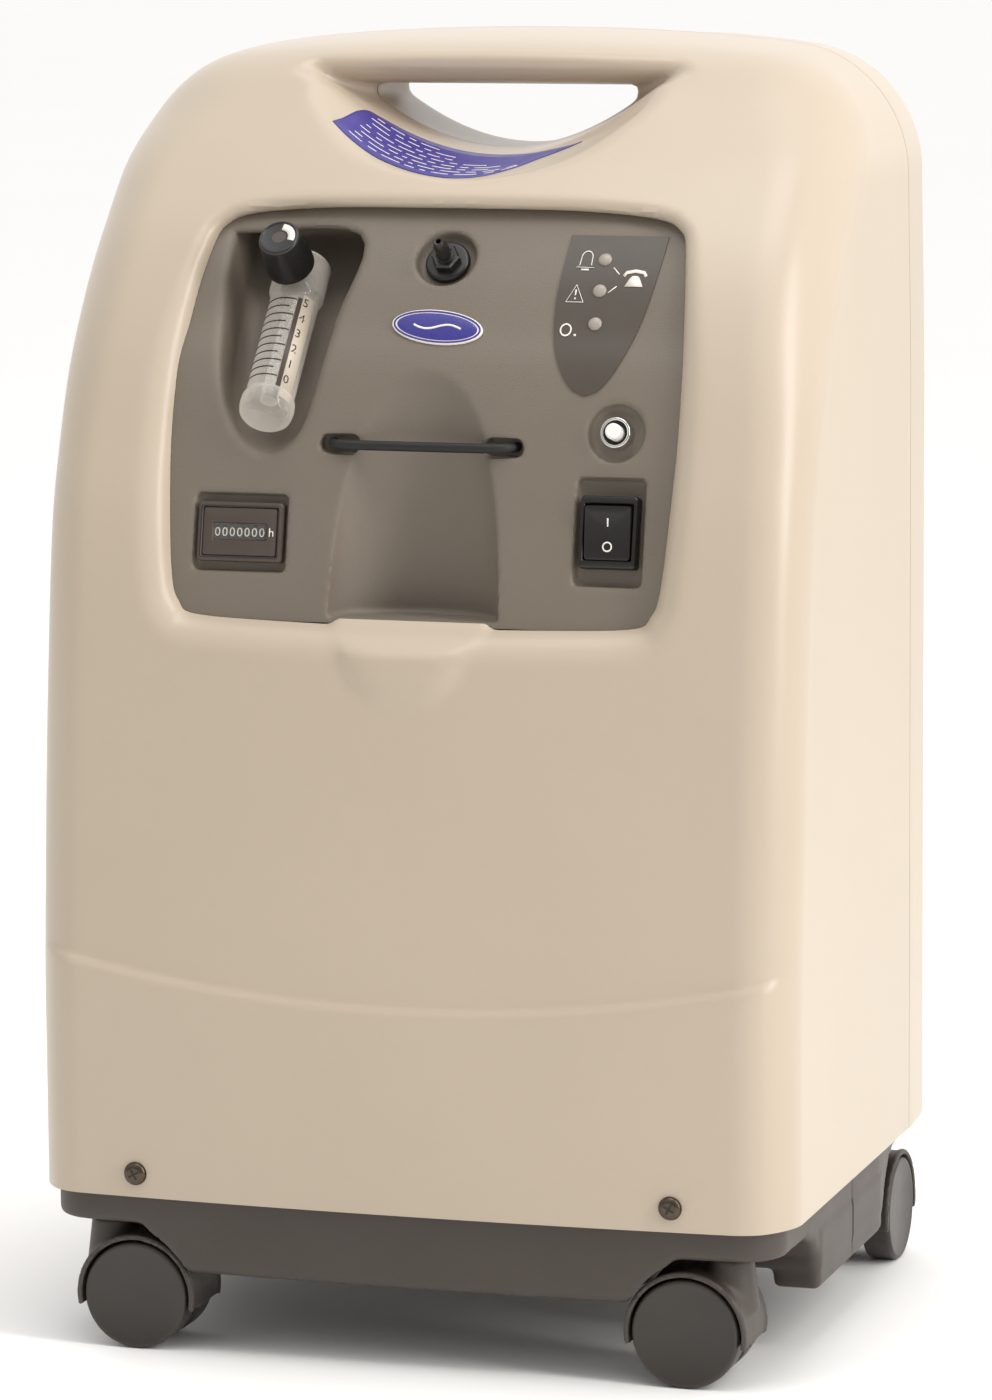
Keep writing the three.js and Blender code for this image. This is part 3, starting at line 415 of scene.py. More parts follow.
def prism(outline, low, high, bevel=0.0, steps=3):
    """A plate with an (a, b) outline from height low to high, with rounded edges at the high end."""
    outline = np.array(outline, float)
    area = np.sum(outline[:, 0] * np.roll(outline[:, 1], -1) - np.roll(outline[:, 0], -1) * outline[:, 1])
    if area < 0:
        outline = outline[::-1]
    before, after = np.roll(outline, 1, 0), np.roll(outline, -1, 0)
    side = (after - before) / np.maximum(np.linalg.norm(after - before, axis=1), 1e-9)[:, None]
    normal = np.stack([side[:, 1], -side[:, 0]], 1)
    rings = [(0.0, low)]
    for i in range(steps + 1):
        angle = math.pi / 2 * i / steps
        rings.append((bevel * (1 - math.cos(angle)), high - bevel * (1 - math.sin(angle))))
        if not bevel:
            break
    return loops([at_height(outline - normal * inset, height) for inset, height in rings])


def round_box(half_a, half_b, radius, steps=6, centre=(0, 0)):
    """A rectangle outline with round corners."""
    out = []
    for sa, sb, start in ((1, 1, 0), (-1, 1, 90), (-1, -1, 180), (1, -1, 270)):
        for i in range(steps + 1):
            angle = math.radians(start + 90 * i / steps)
            out.append((
                centre[0] + sa * (half_a - radius) + radius * math.cos(angle),
                centre[1] + sb * (half_b - radius) + radius * math.sin(angle),
            ))
    return out


def tube(points, radius, sides=16):
    """A round tube with flat ends along a smooth line."""
    line = spline(points, 6)
    tangent = np.gradient(line, axis=0)
    tangent /= np.linalg.norm(tangent, axis=1)[:, None]
    up = np.array([0.0, 0.0, 1.0])
    across = np.cross(tangent, up)
    across /= np.linalg.norm(across, axis=1)[:, None]
    over = np.cross(across, tangent)
    angle = np.linspace(0, 2 * math.pi, sides, endpoint=False)[:, None]
    return loops([(p + radius * (np.cos(angle) * a + np.sin(angle) * o)).tolist()
                  for p, a, o in zip(line, across, over)])


def merge(*parts):
    """Several (points, faces) pairs as one."""
    points, faces = [], []
    for p, f in parts:
        base = len(points)
        points.extend([tuple(v) for v in p])
        faces.extend([tuple(int(i) + base for i in face) for face in f])
    return points, faces


def y_up(part):
    """A shape drawn as (a, b, height) stood in the panel's local frame: X, -Y out, Z up."""
    return [(a, -h, b) for a, b, h in part[0]], part[1]


# ---- materials ----
BUMP_SIZE = 0.0003


def srgb(r, g, b):
    """A linear colour from sRGB values of 0 to 255."""
    def linear(v):
        v /= 255
        return v / 12.92 if v <= 0.04045 else ((v + 0.055) / 1.055) ** 2.4
    return (linear(r), linear(g), linear(b), 1.0)


def add_node(tree, kind, links, **values):
    """A new shader node with some inputs linked and some set."""
    made = tree.nodes.new("ShaderNode" + kind)
    for socket, value in values.items():
        made.inputs[socket].default_value = value
    for socket, source in links.items():
        tree.links.new(source, made.inputs[socket])
    return made


def map_range(tree, source, low, high, to_low, to_high):
    """The output of a node that maps one range of values to another."""
    made = add_node(tree, "MapRange", {"Value": source})
    for socket, value in zip(("From Min", "From Max", "To Min", "To Max"), (low, high, to_low, to_high)):
        made.inputs[socket].default_value = value
    return made.outputs["Result"]


def material(name, colour, rough, spread, patch, grain, bump, rough_spread=0.08, metal=0.0, coat=0.0,
             specular=0.5, voronoi=False):
    """A moulded or metal finish: slow colour patches, roughness patches and a fine surface grain."""
    made = bpy.data.materials.new(name)
    made.use_nodes = True
    tree = made.node_tree
    shader = tree.nodes["Principled BSDF"]
    shader.inputs["Metallic"].default_value = metal
    shader.inputs["Coat Weight"].default_value = coat
    shader.inputs["Specular IOR Level"].default_value = specular
    place = tree.nodes.new("ShaderNodeTexCoord").outputs["Object"]
    patches = add_node(tree, "TexNoise", {"Vector": place}, Scale=patch, Detail=5)
    ramp = add_node(tree, "ValToRGB", {"Fac": patches.outputs["Fac"]})
    for end, at, shift in zip(ramp.color_ramp.elements, (0.3, 0.7), (1 - spread, 1 + spread)):
        end.position = at
        end.color = (*[min(1, c * shift) for c in colour[:3]], 1)
    rubbed = add_node(tree, "TexNoise", {"Vector": place}, Scale=patch * 2.7, Detail=6)
    least, most = max(0.02, rough - rough_spread), rough + rough_spread
    level = map_range(tree, rubbed.outputs["Fac"], 0, 1, least, most)
    texture = add_node(tree, "TexVoronoi" if voronoi else "TexNoise", {"Vector": place}, Scale=grain)
    height = texture.outputs["Distance" if voronoi else "Fac"]
    relief = add_node(tree, "Bump", {"Height": height}, Strength=bump, Distance=BUMP_SIZE)
    tree.links.new(ramp.outputs["Color"], shader.inputs["Base Color"])
    tree.links.new(level, shader.inputs["Roughness"])
    tree.links.new(relief.outputs["Normal"], shader.inputs["Normal"])
    return made


def clear(name, colour, middle, edge):
    """A see-through moulding, thinner to the eye where it faces the viewer."""
    made = material(name, colour, 0.08, 0.02, 60, 240, 0.05, rough_spread=0.04, specular=0.6)
    tree = made.node_tree
    weight = add_node(tree, "LayerWeight", {}, Blend=0.4)
    alpha = map_range(tree, weight.outputs["Facing"], 0, 1, middle, edge)
    tree.links.new(alpha, tree.nodes["Principled BSDF"].inputs["Alpha"])
    return made


BEIGE = material(
    "moulded_beige", srgb(189, 174, 155), 0.31, 0.014, 9, 1500, 0.14, rough_spread=0.02,
    specular=0.45,
)
TAUPE = material("moulded_taupe", srgb(116, 106, 94), 0.55, 0.04, 14, 1300, 0.28, voronoi=True)
BROWN = material("moulded_brown", srgb(69, 61, 55), 0.5, 0.05, 14, 1300, 0.25, voronoi=True)
TREAD = material("wheel_plastic", srgb(54, 48, 43), 0.42, 0.06, 40, 900, 0.12)
BLACK = material("black_moulding", srgb(25, 23, 21), 0.36, 0.08, 40, 1100, 0.12)
KNOB = material("knob_black", srgb(22, 21, 20), 0.3, 0.08, 50, 1200, 0.08)
FACE = material("meter_face", srgb(72, 62, 54), 0.5, 0.06, 50, 1000, 0.12)
OVERLAY = material("overlay_film", srgb(78, 70, 62), 0.36, 0.03, 60, 1600, 0.1)
PRINT = material("white_print", srgb(236, 230, 220), 0.5, 0.02, 200, 2000, 0.05)
# Black for print, the meter drums and the float, and also painted shade: the crosses on the screw heads and
# the line round the hour meter's hollow.
INK_AND_PAINTED_SHADE = material("black_print_and_painted_shade", srgb(28, 25, 22), 0.5, 0.05, 200, 2000, 0.05)
LENS = material("smoky_lens", srgb(158, 148, 138), 0.3, 0.05, 120, 900, 0.05)
BADGE = material("badge_blue", srgb(50, 46, 132), 0.28, 0.05, 90, 1200, 0.05, coat=0.4)
LABEL = material("label_blue", srgb(66, 58, 136), 0.34, 0.06, 40, 1400, 0.06)
CHROME = material(
    "chrome", srgb(226, 224, 220), 0.12, 0.02, 90, 700, 0.03, rough_spread=0.05, metal=1.0,
)
STEEL = material("brushed_steel", srgb(150, 148, 144), 0.34, 0.05, 220, 900, 0.1, metal=1.0)
SCREW = material("dark_screw", srgb(88, 78, 68), 0.3, 0.1, 200, 900, 0.1, metal=1.0)
WHITE = material("white_button", srgb(240, 238, 232), 0.3, 0.02, 80, 1100, 0.05)
RUBBER = material("strap_rubber", srgb(24, 23, 22), 0.62, 0.1, 90, 1400, 0.2)
BRASS = material("outlet_plating", srgb(30, 27, 24), 0.3, 0.06, 150, 900, 0.06, metal=0.2)
CLEAR = clear("clear_acrylic", srgb(226, 219, 208), 0.16, 0.8)
PANE = clear("meter_pane", srgb(200, 196, 190), 0.05, 0.4)
SCALE = material("scale_strip", srgb(196, 184, 166), 0.4, 0.03, 90, 1200, 0.05)
ALLOY = material("cast_alloy", srgb(176, 178, 180), 0.46, 0.07, 60, 700, 0.3, metal=1.0)
TANK = material("tank_white", srgb(225, 224, 218), 0.45, 0.03, 30, 1200, 0.1)
BOARD = material("board_green", srgb(38, 98, 62), 0.4, 0.12, 180, 500, 0.2)
HOSE = material("hose_clear", srgb(214, 216, 212), 0.25, 0.03, 80, 900, 0.08)
FLOOR = material("studio_floor", srgb(250, 249, 247), 0.85, 0.004, 1.5, 60, 0.02)

# ---- camera, light and floor ----
CAMERA = (902.0, -2849.7, 765.0)
TARGET = (3.44, 0.0, 304.79)
ROLL = math.radians(-0.4574)
camera = bpy.data.objects.new("camera", bpy.data.cameras.new("camera"))
bpy.context.scene.collection.objects.link(camera)
camera.data.sensor_fit = "AUTO"
camera.data.sensor_width = 36
camera.data.lens = 156.95
camera.data.clip_end = 100
eye = (Vector(CAMERA) + Vector((0, SHIFT, 0))) * MM
aim = (Vector(TARGET) + Vector((0, SHIFT, 0))) * MM
ahead = (aim - eye).normalized()
across = ahead.cross(Vector((0, 0, 1))).normalized()
upright = across.cross(ahead)
right = across * math.cos(ROLL) + upright * math.sin(ROLL)
up = upright * math.cos(ROLL) - across * math.sin(ROLL)
turn = Matrix((right, up, -ahead)).transposed().to_4x4()
camera.matrix_world = Matrix.Translation(eye) @ turn
bpy.context.scene.camera = camera


def area_light(name, place, toward, size, power, colour=(1, 1, 1)):
    data = bpy.data.lights.new(name, "AREA")
    data.shape = "RECTANGLE"
    data.size, data.size_y = size
    data.energy = power
    data.color = colour
    lamp = bpy.data.objects.new(name, data)
    lamp.location = place
    lamp.rotation_euler = (Vector(toward) - Vector(place)).to_track_quat("-Z", "Y").to_euler()
    bpy.context.scene.collection.objects.link(lamp)


area_light("key_right", (2.3, -0.7, 1.5), (0.1, 0, 0.3), (0.35, 2.4), 40, (1.0, 0.98, 0.95))
area_light("top", (0.2, -0.5, 2.8), (0, 0, 0.4), (1.6, 1.2), 22)
area_light("front_fill", (-1.6, -3.0, 1.8), (0, 0, 0.3), (2.0, 1.6), 2)
world = bpy.data.worlds.new("studio")
bpy.context.scene.world = world
world.use_nodes = True
tree = world.node_tree
sky = tree.nodes["Background"]
sky.inputs["Color"].default_value = (1, 1, 1, 1)
facing = tree.nodes.new("ShaderNodeVectorMath")
facing.operation = "DOT_PRODUCT"
facing.inputs[1].default_value = (0, 0.7, 0.7)  # the sky is brightest above and behind
tree.links.new(tree.nodes.new("ShaderNodeTexCoord").outputs["Generated"], facing.inputs[0])
tree.links.new(map_range(tree, facing.outputs["Value"], -0.5, 0.6, 0.24, 1.2), sky.inputs["Strength"])
bpy.context.scene.view_settings.view_transform = "Standard"

floor_mesh = bpy.data.meshes.new("floor")
floor_mesh.from_pydata([(-40, -40, 0), (40, -40, 0), (40, 40, 0), (-40, 40, 0)], [], [(0, 1, 2, 3)])
floor_mesh.materials.append(FLOOR)
floor = bpy.data.objects.new("floor", floor_mesh)
bpy.context.scene.collection.objects.link(floor)

# ---- cabinet ----
front_line = spline(FRONT_PROFILE)
front_region = np.vstack([front_line, [(420, 670), (420, -300), (-149.9, -300)]])
front_table = Outline(front_region, (-190, 30), (130, 690))
window_outline = np.array(mirrored(WINDOW_HALF), float)
closed = np.vstack([window_outline, window_outline[:1]])
window_table = Outline(spline(closed, 5)[:-1], (-170, 310), (170, 600))
scoop_y = np.arange(-75, 175, 0.5)
smooth = np.exp(-(np.arange(-12, 13) / 5.0) ** 2)
scoop_columns = []
for column in range(1, 5):
    values = np.interp(scoop_y, [row[0] for row in SCOOP], [row[column] for row in SCOOP])
    edges = np.pad(values, 12, mode="edge")
    scoop_columns.append(np.convolve(edges, smooth / smooth.sum(), "valid"))


def corner_radius(z):
    return 27 + 9 * smoothstep(z, 400, 560) - 14 * smoothstep(z, 585, 630)


def arch(x, y, z):
    """The front view of the cabinet: upright sides, round shoulders and a slightly crowned top."""
    side = np.abs(x) - (HALF_WIDTH - 1.5 * smoothstep(z, 450, 585))
    reach = np.minimum(np.abs(x), 130)
    top = z - (TOP_Z + 1.6 - 9.5 * (reach / 138.5) ** 2)
    return round_max(side, top, SHOULDER_R) + 4 * np.clip((y - SEAM_Y) / 55, 0, 1) ** 1.5


def crease_height(x):
    return 177 + 16 * (x / FRONT_CORNER_X) ** 2


def front(x, y, z):
    """The leaning front, crowned across, over the band that stands proud at the bottom."""
    crown = CROWN * np.minimum(np.abs(x) / (HALF_WIDTH - corner_radius(z)), 1.15) ** 2
    crease = crease_height(x)
    band = BAND_RISE * (1 - smoothstep(z, crease - 2, crease + 3)) * (1 - smoothstep(np.abs(x), 176, 190))
    return front_table(y - crown + band, z)


def scoop(x, y, z):
    """The hollow of the grip: a dish in front of the bar, a tunnel under it and a dish behind."""
    half, side, low, top = (np.interp(y, scoop_y, column) for column in scoop_columns)
    rise = side - low
    slope = 2 * rise * x / half**2
    floor_gap = (low + rise * (x / half) ** 2 - z) / np.sqrt(1 + slope**2)
    return smooth_max(smooth_max(floor_gap, (z - top) * 0.85, 4), np.abs(x) - half, 3)


def shell(x, y, z):
    """The closed cabinet without its openings."""
    return round_max(front(x, y, z), arch(x, y, z), corner_radius(z))


def shelf(x, y, z):
    """The lip under the bottle niche and the half funnel that carries it."""
    a = np.interp(z, [322, 335, 346, 356], [22, 33, 38, 40])
    b = np.interp(z, [322, 335, 346, 356], [21.5, 23, 22, 19])
    u, v = x / a, (y + 118) / b
    k = (u**4 + v**4) ** 0.25
    plan = (k - 1) * np.minimum(a, b) * 0.9
    top = (z - (361 + (y + 121.6) * 0.8)) / 1.28
    return round_max(round_max(plan, np.maximum(top, z - 361), 2.0), 322 - z, 1)


def front_solid(x, y, z):
    bar = smoothstep(y, 2, 12) * smoothstep(z, 594, 602)
    body = round_max(shell(x, y, z), -scoop(x, y, z), 2.5 + 7.5 * bar)
    roll = 8.5 + 8 * (1 - smoothstep(z, 470, 540))
    body = round_max(body, -window_table(x, z), roll)
    return smooth_min(body, shelf(x, y, z), 1.5)


def rear_solid(x, y, z):
    body = round_max(shell(x, y, z), y - REAR_Y, 18)
    return round_max(body, -scoop(x, y, z), 6)


def in_tunnel(points):
    x, y, z = points.T
    return (np.abs(x) < 108) & (z > 550) & (z < 622) & (y > 20) & (arch(x, y, z) < -5)


def panel_face(z):
    """The Y of the control panel's face at a height."""
    line = spline(PANEL_PROFILE, 6)
    return np.interp(z, line[:, 1], line[:, 0])


def build_front_cover():
    points, faces = skin(front_solid, (-194, -158, 72), (194, 104, 640), COVER_STEP, 1.5)
    points, faces = trim(points, faces, COVER_BOTTOM - points[:, 2])
    seam = points[:, 1] + GAP - np.where(in_tunnel(points), TUNNEL_SEAM, SEAM_Y)
    points, faces = trim(points, faces, seam)
    x, y, z = points.T
    near = window_table(x, z) < 3
    behind = np.where(near & (z > 330) & (z < 575), y - (panel_face(z) - GAP), KEEP)
    points, faces = trim(points, faces, behind)
    for side in (-1, 1):
        x, y, z = points.T
        hole = 3.1 - np.hypot(x - side * SCREW_X, z - SCREW_Z)
        points, faces = trim(points, faces, np.where(y < -100, hole, KEEP))
    points, faces = biggest(*tidy(points, faces))
    piece("front_shell", thicken(points, faces, WALL), BEIGE, "front_cover")


def slot_distance(x, z, x0, x1, z0, z1, radius):
    """Distance to a rectangle with round corners."""
    a = np.abs(x - (x0 + x1) / 2) - (x1 - x0) / 2
    b = np.abs(z - (z0 + z1) / 2) - (z1 - z0) / 2
    return round_max(a, b, radius)


def build_rear_cover():
    points, faces = skin(rear_solid, (-194, 30, 72), (194, 158, 640), COVER_STEP, 1.5)
    points, faces = trim(points, faces, COVER_BOTTOM - points[:, 2])
    seam = np.where(in_tunnel(points), TUNNEL_SEAM, SEAM_Y) + GAP - points[:, 1]
    points, faces = trim(points, faces, seam)
    ports = [(-62, 62, 250 + 12 * i, 256 + 12 * i, 2.5) for i in range(9)]
    ports += [(-52, 52, 398, 482, 3), (52, 84, 104, 130, 2)]
    for port in ports:
        x, y, z = points.T
        points, faces = trim(points, faces, np.where(y > 140, -slot_distance(x, z, *port), KEEP))
    points, faces = biggest(*tidy(points, faces))
    piece("rear_shell", thicken(points, faces, WALL), BEIGE, "rear_cover")


# ---- control panel ----
NICHE = (43.0, 30.0, -124.0, 361.0)  # half width, half depth, centre Y, floor Z
FLOW_POCKET = [
    (-110, 538), (-47, 538), (-51, 500), (-57, 466), (-64, 446), (-78, 437), (-93, 446), (-103, 466),
    (-108, 500),
]
OUTLET = (0.0, 529.0)
BREAKER = (96.0, 451.0)
SWITCH = (95.5, 405.0)
METER = (-88.5, 400.0)
STRAP_Z = 442.5
BADGE_AT = (2.0, 497.0)
LED_X = 80.0
LED_Z = {"led_alarm": 529.0, "led_warning": 515.0, "led_oxygen": 500.0}
pocket_loop = np.array([*FLOW_POCKET, FLOW_POCKET[0]], float)
pocket_table = Outline(spline(pocket_loop, 6)[:-1], (-130, 400), (-10, 600))


def panel_lean(z):
    return math.atan2(float(panel_face(z + 8) - panel_face(z - 8)), 16)


def panel_matrix(x, z):
    """The frame of something on the panel's face: X right, Z up the face, -Y out of it."""
    return Matrix.Translation((x, float(panel_face(z)), z)) @ Matrix.Rotation(-panel_lean(z), 4, "X")


def on_panel(site, x, y, z):
    """Sideways, upward and inward distances from a site on the panel's face."""
    lean = panel_lean(site[1])
    dy, dz = y - float(panel_face(site[1])), z - site[1]
    return x - site[0], dy * math.sin(lean) + dz * math.cos(lean), dy * math.cos(lean) - dz * math.sin(lean)


def round_hollow(site, radius, depth, x, y, z):
    a, b, into = on_panel(site, x, y, z)
    return round_max(np.hypot(a, b) - radius + 0.12 * np.maximum(into, 0), into - depth, 2)


def square_hollow(site, half_a, half_b, depth, x, y, z):
    a, b, into = on_panel(site, x, y, z)
    plan = round_max(np.abs(a) - half_a, np.abs(b) - half_b, 3)
    return round_max(plan + 0.15 * np.maximum(into, 0), into - depth, 1.2)


def panel_solid(x, y, z):
    line = spline(PANEL_PROFILE, 6)
    face = np.interp(z, line[:, 1], line[:, 0])
    slope = np.interp(z, line[:, 1], np.gradient(line[:, 0], line[:, 1]))
    body = (face - y) / np.sqrt(1 + slope**2)
    half_x, half_y, centre, low = NICHE
    u, v = x / half_x, (y - centre) / half_y
    k = np.sqrt(u**2 + v**2)
    niche = k * (k - 1) / np.maximum(np.sqrt((u / half_x) ** 2 + (v / half_y) ** 2), 1e-6)
    niche = round_max(niche, low - z, 2.5)
    body = smooth_max(body, -niche, 1.0)
    back = ((y + 92) * 86 - (z - 444) * 72) / 112.2
    body = smooth_max(body, -round_max(pocket_table(x, z), back, 7), 5)
    body = smooth_max(body, -round_hollow(OUTLET, 15, 6, x, y, z), 2)
    body = smooth_max(body, -round_hollow(BREAKER, 14, 5, x, y, z), 2)
    body = smooth_max(body, -square_hollow(SWITCH, 17, 26, 6, x, y, z), 1.6)
    body = smooth_max(body, -square_hollow(METER, 23.5, 19, 5, x, y, z), 1.6)
    for side in (-1, 1):
        slot = slot_distance(side * x, z, 31, 51, STRAP_Z - 4.5, STRAP_Z + 4.5, 4.4)
        body = smooth_max(body, -np.maximum(slot, y - face - 7), 1.2)
    return body


def build_panel():
    points, faces = skin(panel_solid, (-134, -127, 350), (134, -6, 560), PANEL_STEP, 1.0)
    x, _, z = points.T
    points, faces = trim(points, faces, np.maximum(window_table(x, z) - 5, 358.6 - z))
    for site, radius in ((OUTLET, 4.6), (BREAKER, 4.6)):
        a, b, into = on_panel(site, *points.T)
        points, faces = trim(points, faces, np.where(into > 2, radius - np.hypot(a, b), KEEP))
    points, faces = biggest(*tidy(points, faces))
    piece("panel_shell", thicken(points, faces, 2.2), TAUPE, "control_panel")


# ---- base ----
WELL = [(-60, 0), (52.5, 0), (52.5, 34), (48, 45), (41, 53), (30, 62), (-60, 62)]
FRONT_TRIM = [(-260, -20), (-59.5, -20), (-59.5, 31), (-62, 48), (-70, 57), (-84, 62), (-260, 62)]
REAR_TRIM = [(260, 62), (112, 62), (101, 55), (95, 45), (87, 36), (72, 30), (72, -20), (260, -20)]
CASTERS = {
    "front_left": (-STEM_X, STEM_FRONT_Y, 0.0),
    "front_right": (STEM_X, STEM_FRONT_Y, math.pi),
    "rear_left": (-STEM_X, STEM_REAR_Y, math.pi / 2),
    "rear_right": (STEM_X, STEM_REAR_Y, math.pi / 2),
}
well_table = Outline(WELL, (0, 0), (130, 110))
front_trim_table = Outline(FRONT_TRIM, (-170, 10), (170, 110))
rear_trim_table = Outline(REAR_TRIM, (-170, 10), (170, 110))


def base_solid(x, y, z):
    """The base tub: side skids, cut-away ends and a round well over each caster."""
    half = 184 - 7.5 * np.clip((y - 60) / 69, 0, 1)
    front_y = FRONT_Y + 6.5 + CROWN * (x / FRONT_CORNER_X) ** 2
    plan = round_max(round_max(np.abs(x) - half, front_y - y, 20.5), y - 146.5, 17.5)
    body = round_max(plan, 40 - z, 5)
    skid = round_max(np.maximum(plan, 160 - np.abs(x)), np.maximum(31 - z, np.abs(y - 6.2) - 65.8), 4)
    body = smooth_min(body, np.maximum(skid, z - 60), 3)
    for trim_table in (front_trim_table, rear_trim_table):
        cut = round_max(trim_table(y, z), 135 - np.abs(x), 3)
        body = smooth_max(body, -cut, 5)
    for cx, cy, _ in CASTERS.values():
        body = smooth_max(body, -well_table(np.hypot(x - cx, y - cy), z), 2.5)
    rib = np.maximum(np.abs(y - 4) - 0.9, np.maximum(176 - np.abs(x), 34 - z))
    return np.maximum(body, -np.maximum(rib, -(plan + 1.2)))


def build_base():
    points, faces = skin(base_solid, (-188, -150, 26), (188, 150, 90), BASE_STEP, 1.2)
    points, faces = trim(points, faces, points[:, 2] - 82)
    for cx, cy, _ in CASTERS.values():
        hole = 5.8 - np.hypot(points[:, 0] - cx, points[:, 1] - cy)
        points, faces = trim(points, faces, np.where(points[:, 2] < 75, hole, KEEP))
    points, faces = biggest(*tidy(points, faces))
    piece("base_shell", thicken(points, faces, 3.0), BROWN, "base_tub")


# ---- casters ----
FENDER_IN = 27.6
FENDER_OUT = 30.4
HOOD_HALF = 20.5


def hood_solid(x, y, z):
    """A stem boss over a fender on a web, about a stem on the Z axis."""
    u, v = x - CASTER_TRAIL, z - WHEEL_R
    r = np.hypot(u, v)
    angle = np.degrees(np.arctan2(v, u))
    angle = np.where(angle < -90, angle + 360, angle)
    span = (np.abs(angle - 90) - 102) * r * math.pi / 180
    bead = 0.9 * np.exp(-(((np.abs(y) - HOOD_HALF + 1.6) / 1.6) ** 2))
    band = np.maximum(r - FENDER_OUT - bead + 0.9, FENDER_IN - r)
    fender = round_max(np.maximum(band, span), np.abs(y) - HOOD_HALF, 1)
    web = round_max(np.maximum(r - 29, np.minimum(span, -v - 8)), np.abs(y) - 4.4, 0.6)
    boss = round_max(np.hypot(x, y) - (13 - 0.12 * (z - 40)), np.maximum(z - 61.2, 36 - z), 1.2)
    body = smooth_min(fender, boss, 4)
    space = np.maximum(r - FENDER_IN, 4.4 - np.abs(y))
    body = smooth_min(smooth_max(body, -space, 0.6), web, 1)
    return np.maximum(np.maximum(body, 5.8 - np.hypot(x, y) - np.maximum(50 - z, 0)), 3.3 - r)


def build_casters():
    points, quads = surface_net(hood_solid, (-16, -23, 8), (60, 23, 64), HOOD_STEP)
    points = settle(hood_solid, points, 0.7)
    faces = triangles(points, quads)
    points, faces = biggest(*tidy(points, faces))
    rim = rounded([(3.3, 5), (26.4, 5), (26.5, 18.2), (25.6, 20.0), (0, 20.0)], 1.4)
    disc = [*rim[:-1], (24.2, 20.0), (23.6, 19.75), (0, 19.6), (0, 18.5), (3.3, 18.5), (3.3, 5)]
    for side, (x, y, turned) in CASTERS.items():
        place = Matrix.Translation((x, y, 0)) @ Matrix.Rotation(turned, 4, "Z")
        piece(
            f"hood_{side}", (points, faces), BROWN, f"caster_hood_{side}",
            body=f"caster_{side}", matrix=place,
        )
        for letter, way in (("a", -1), ("b", 1)):
            face_out = Matrix.Identity(4) if way > 0 else Matrix.Rotation(math.pi, 4, "Z")
            hub = place @ Matrix.Translation((CASTER_TRAIL, 0, WHEEL_R)) @ face_out
            piece(
                f"wheel_disc_{side}_{letter}", lathe(disc, 72), TREAD,
                f"wheel_{side}_{letter}", body=f"wheel_{side}_{letter}", sharp=30, matrix=hub,
            )


# ---- what sits on the panel ----
def frame_plate(half_a, half_b, corner, low, high, hole_a, hole_b, floor, bevel=1.2):
    """A plate with a rounded outer edge and a stepped rectangular hollow in its face."""
    inset = round_box(half_a - bevel, half_b - bevel, max(corner - bevel, 0.4))
    return loops([
        at_height(round_box(half_a, half_b, corner), low),
        at_height(round_box(half_a, half_b, corner), high - bevel),
        at_height(round_box(half_a - bevel * 0.3, half_b - bevel * 0.3, corner), high - bevel * 0.3),
        at_height(inset, high),
        at_height(round_box(hole_a + 0.4, hole_b + 0.4, 1.0), high),
        at_height(round_box(hole_a, hole_b, 0.8), high - 0.5),
        at_height(round_box(hole_a, hole_b, 0.8), floor),
    ])


def thin(points, faces, wall=0.14):
    return thicken(np.array(points, float), np.array(faces, int), wall)


def sheet(rows, wall):
    """A thin skin through rows of points with equal counts."""
    count = len(rows[0])
    faces = []
    for i in range(len(rows) - 1):
        for a in range(i * count, (i + 1) * count - 1):
            faces += [(a, a + 1, a + count + 1), (a, a + count + 1, a + count)]
    return thin([p for row in rows for p in row], faces, wall)


def ribbon(path, width, place, closed=False):
    """A flat stroke along (a, b) points; place turns (a, b) into a point on a surface."""
    p = np.array(path, float)
    if closed:
        side = np.roll(p, -1, 0) - np.roll(p, 1, 0)
    else:
        side = np.gradient(p, axis=0)
    side /= np.linalg.norm(side, axis=1)[:, None]
    normal = np.stack([-side[:, 1], side[:, 0]], 1) * width / 2
    left, right = p + normal, p - normal
    points = [place(a, b) for a, b in np.concatenate([left, right])]
    n = len(p)
    faces = []
    for i in range(n if closed else n - 1):
        j = (i + 1) % n
        faces += [(i, i + n, j + n), (i, j + n, j)]
    return thin(points, faces)


def filled(outline, place):
    centre = np.mean(np.array(outline, float), axis=0)
    points = [place(a, b) for a, b in [*outline, centre]]
    n = len(outline)
    faces = [(i, (i + 1) % n, n) for i in range(n)]
    turned = [*outline[1:], outline[0]]
    if sum(a[0] * b[1] - b[0] * a[1] for a, b in zip(outline, turned)) < 0:
        faces = [f[::-1] for f in faces]
    return thin(points, faces)


def film(a, b):
    """A place just in front of the indicator film."""
    return a, float(panel_face(b)) - 1.15, b


def arc(cx, cy, r, start, end, steps=18):
    return [
        (cx + r * math.cos(math.radians(start + (end - start) * i / steps)),
         cy + r * math.sin(math.radians(start + (end - start) * i / steps)))
        for i in range(steps + 1)
    ]


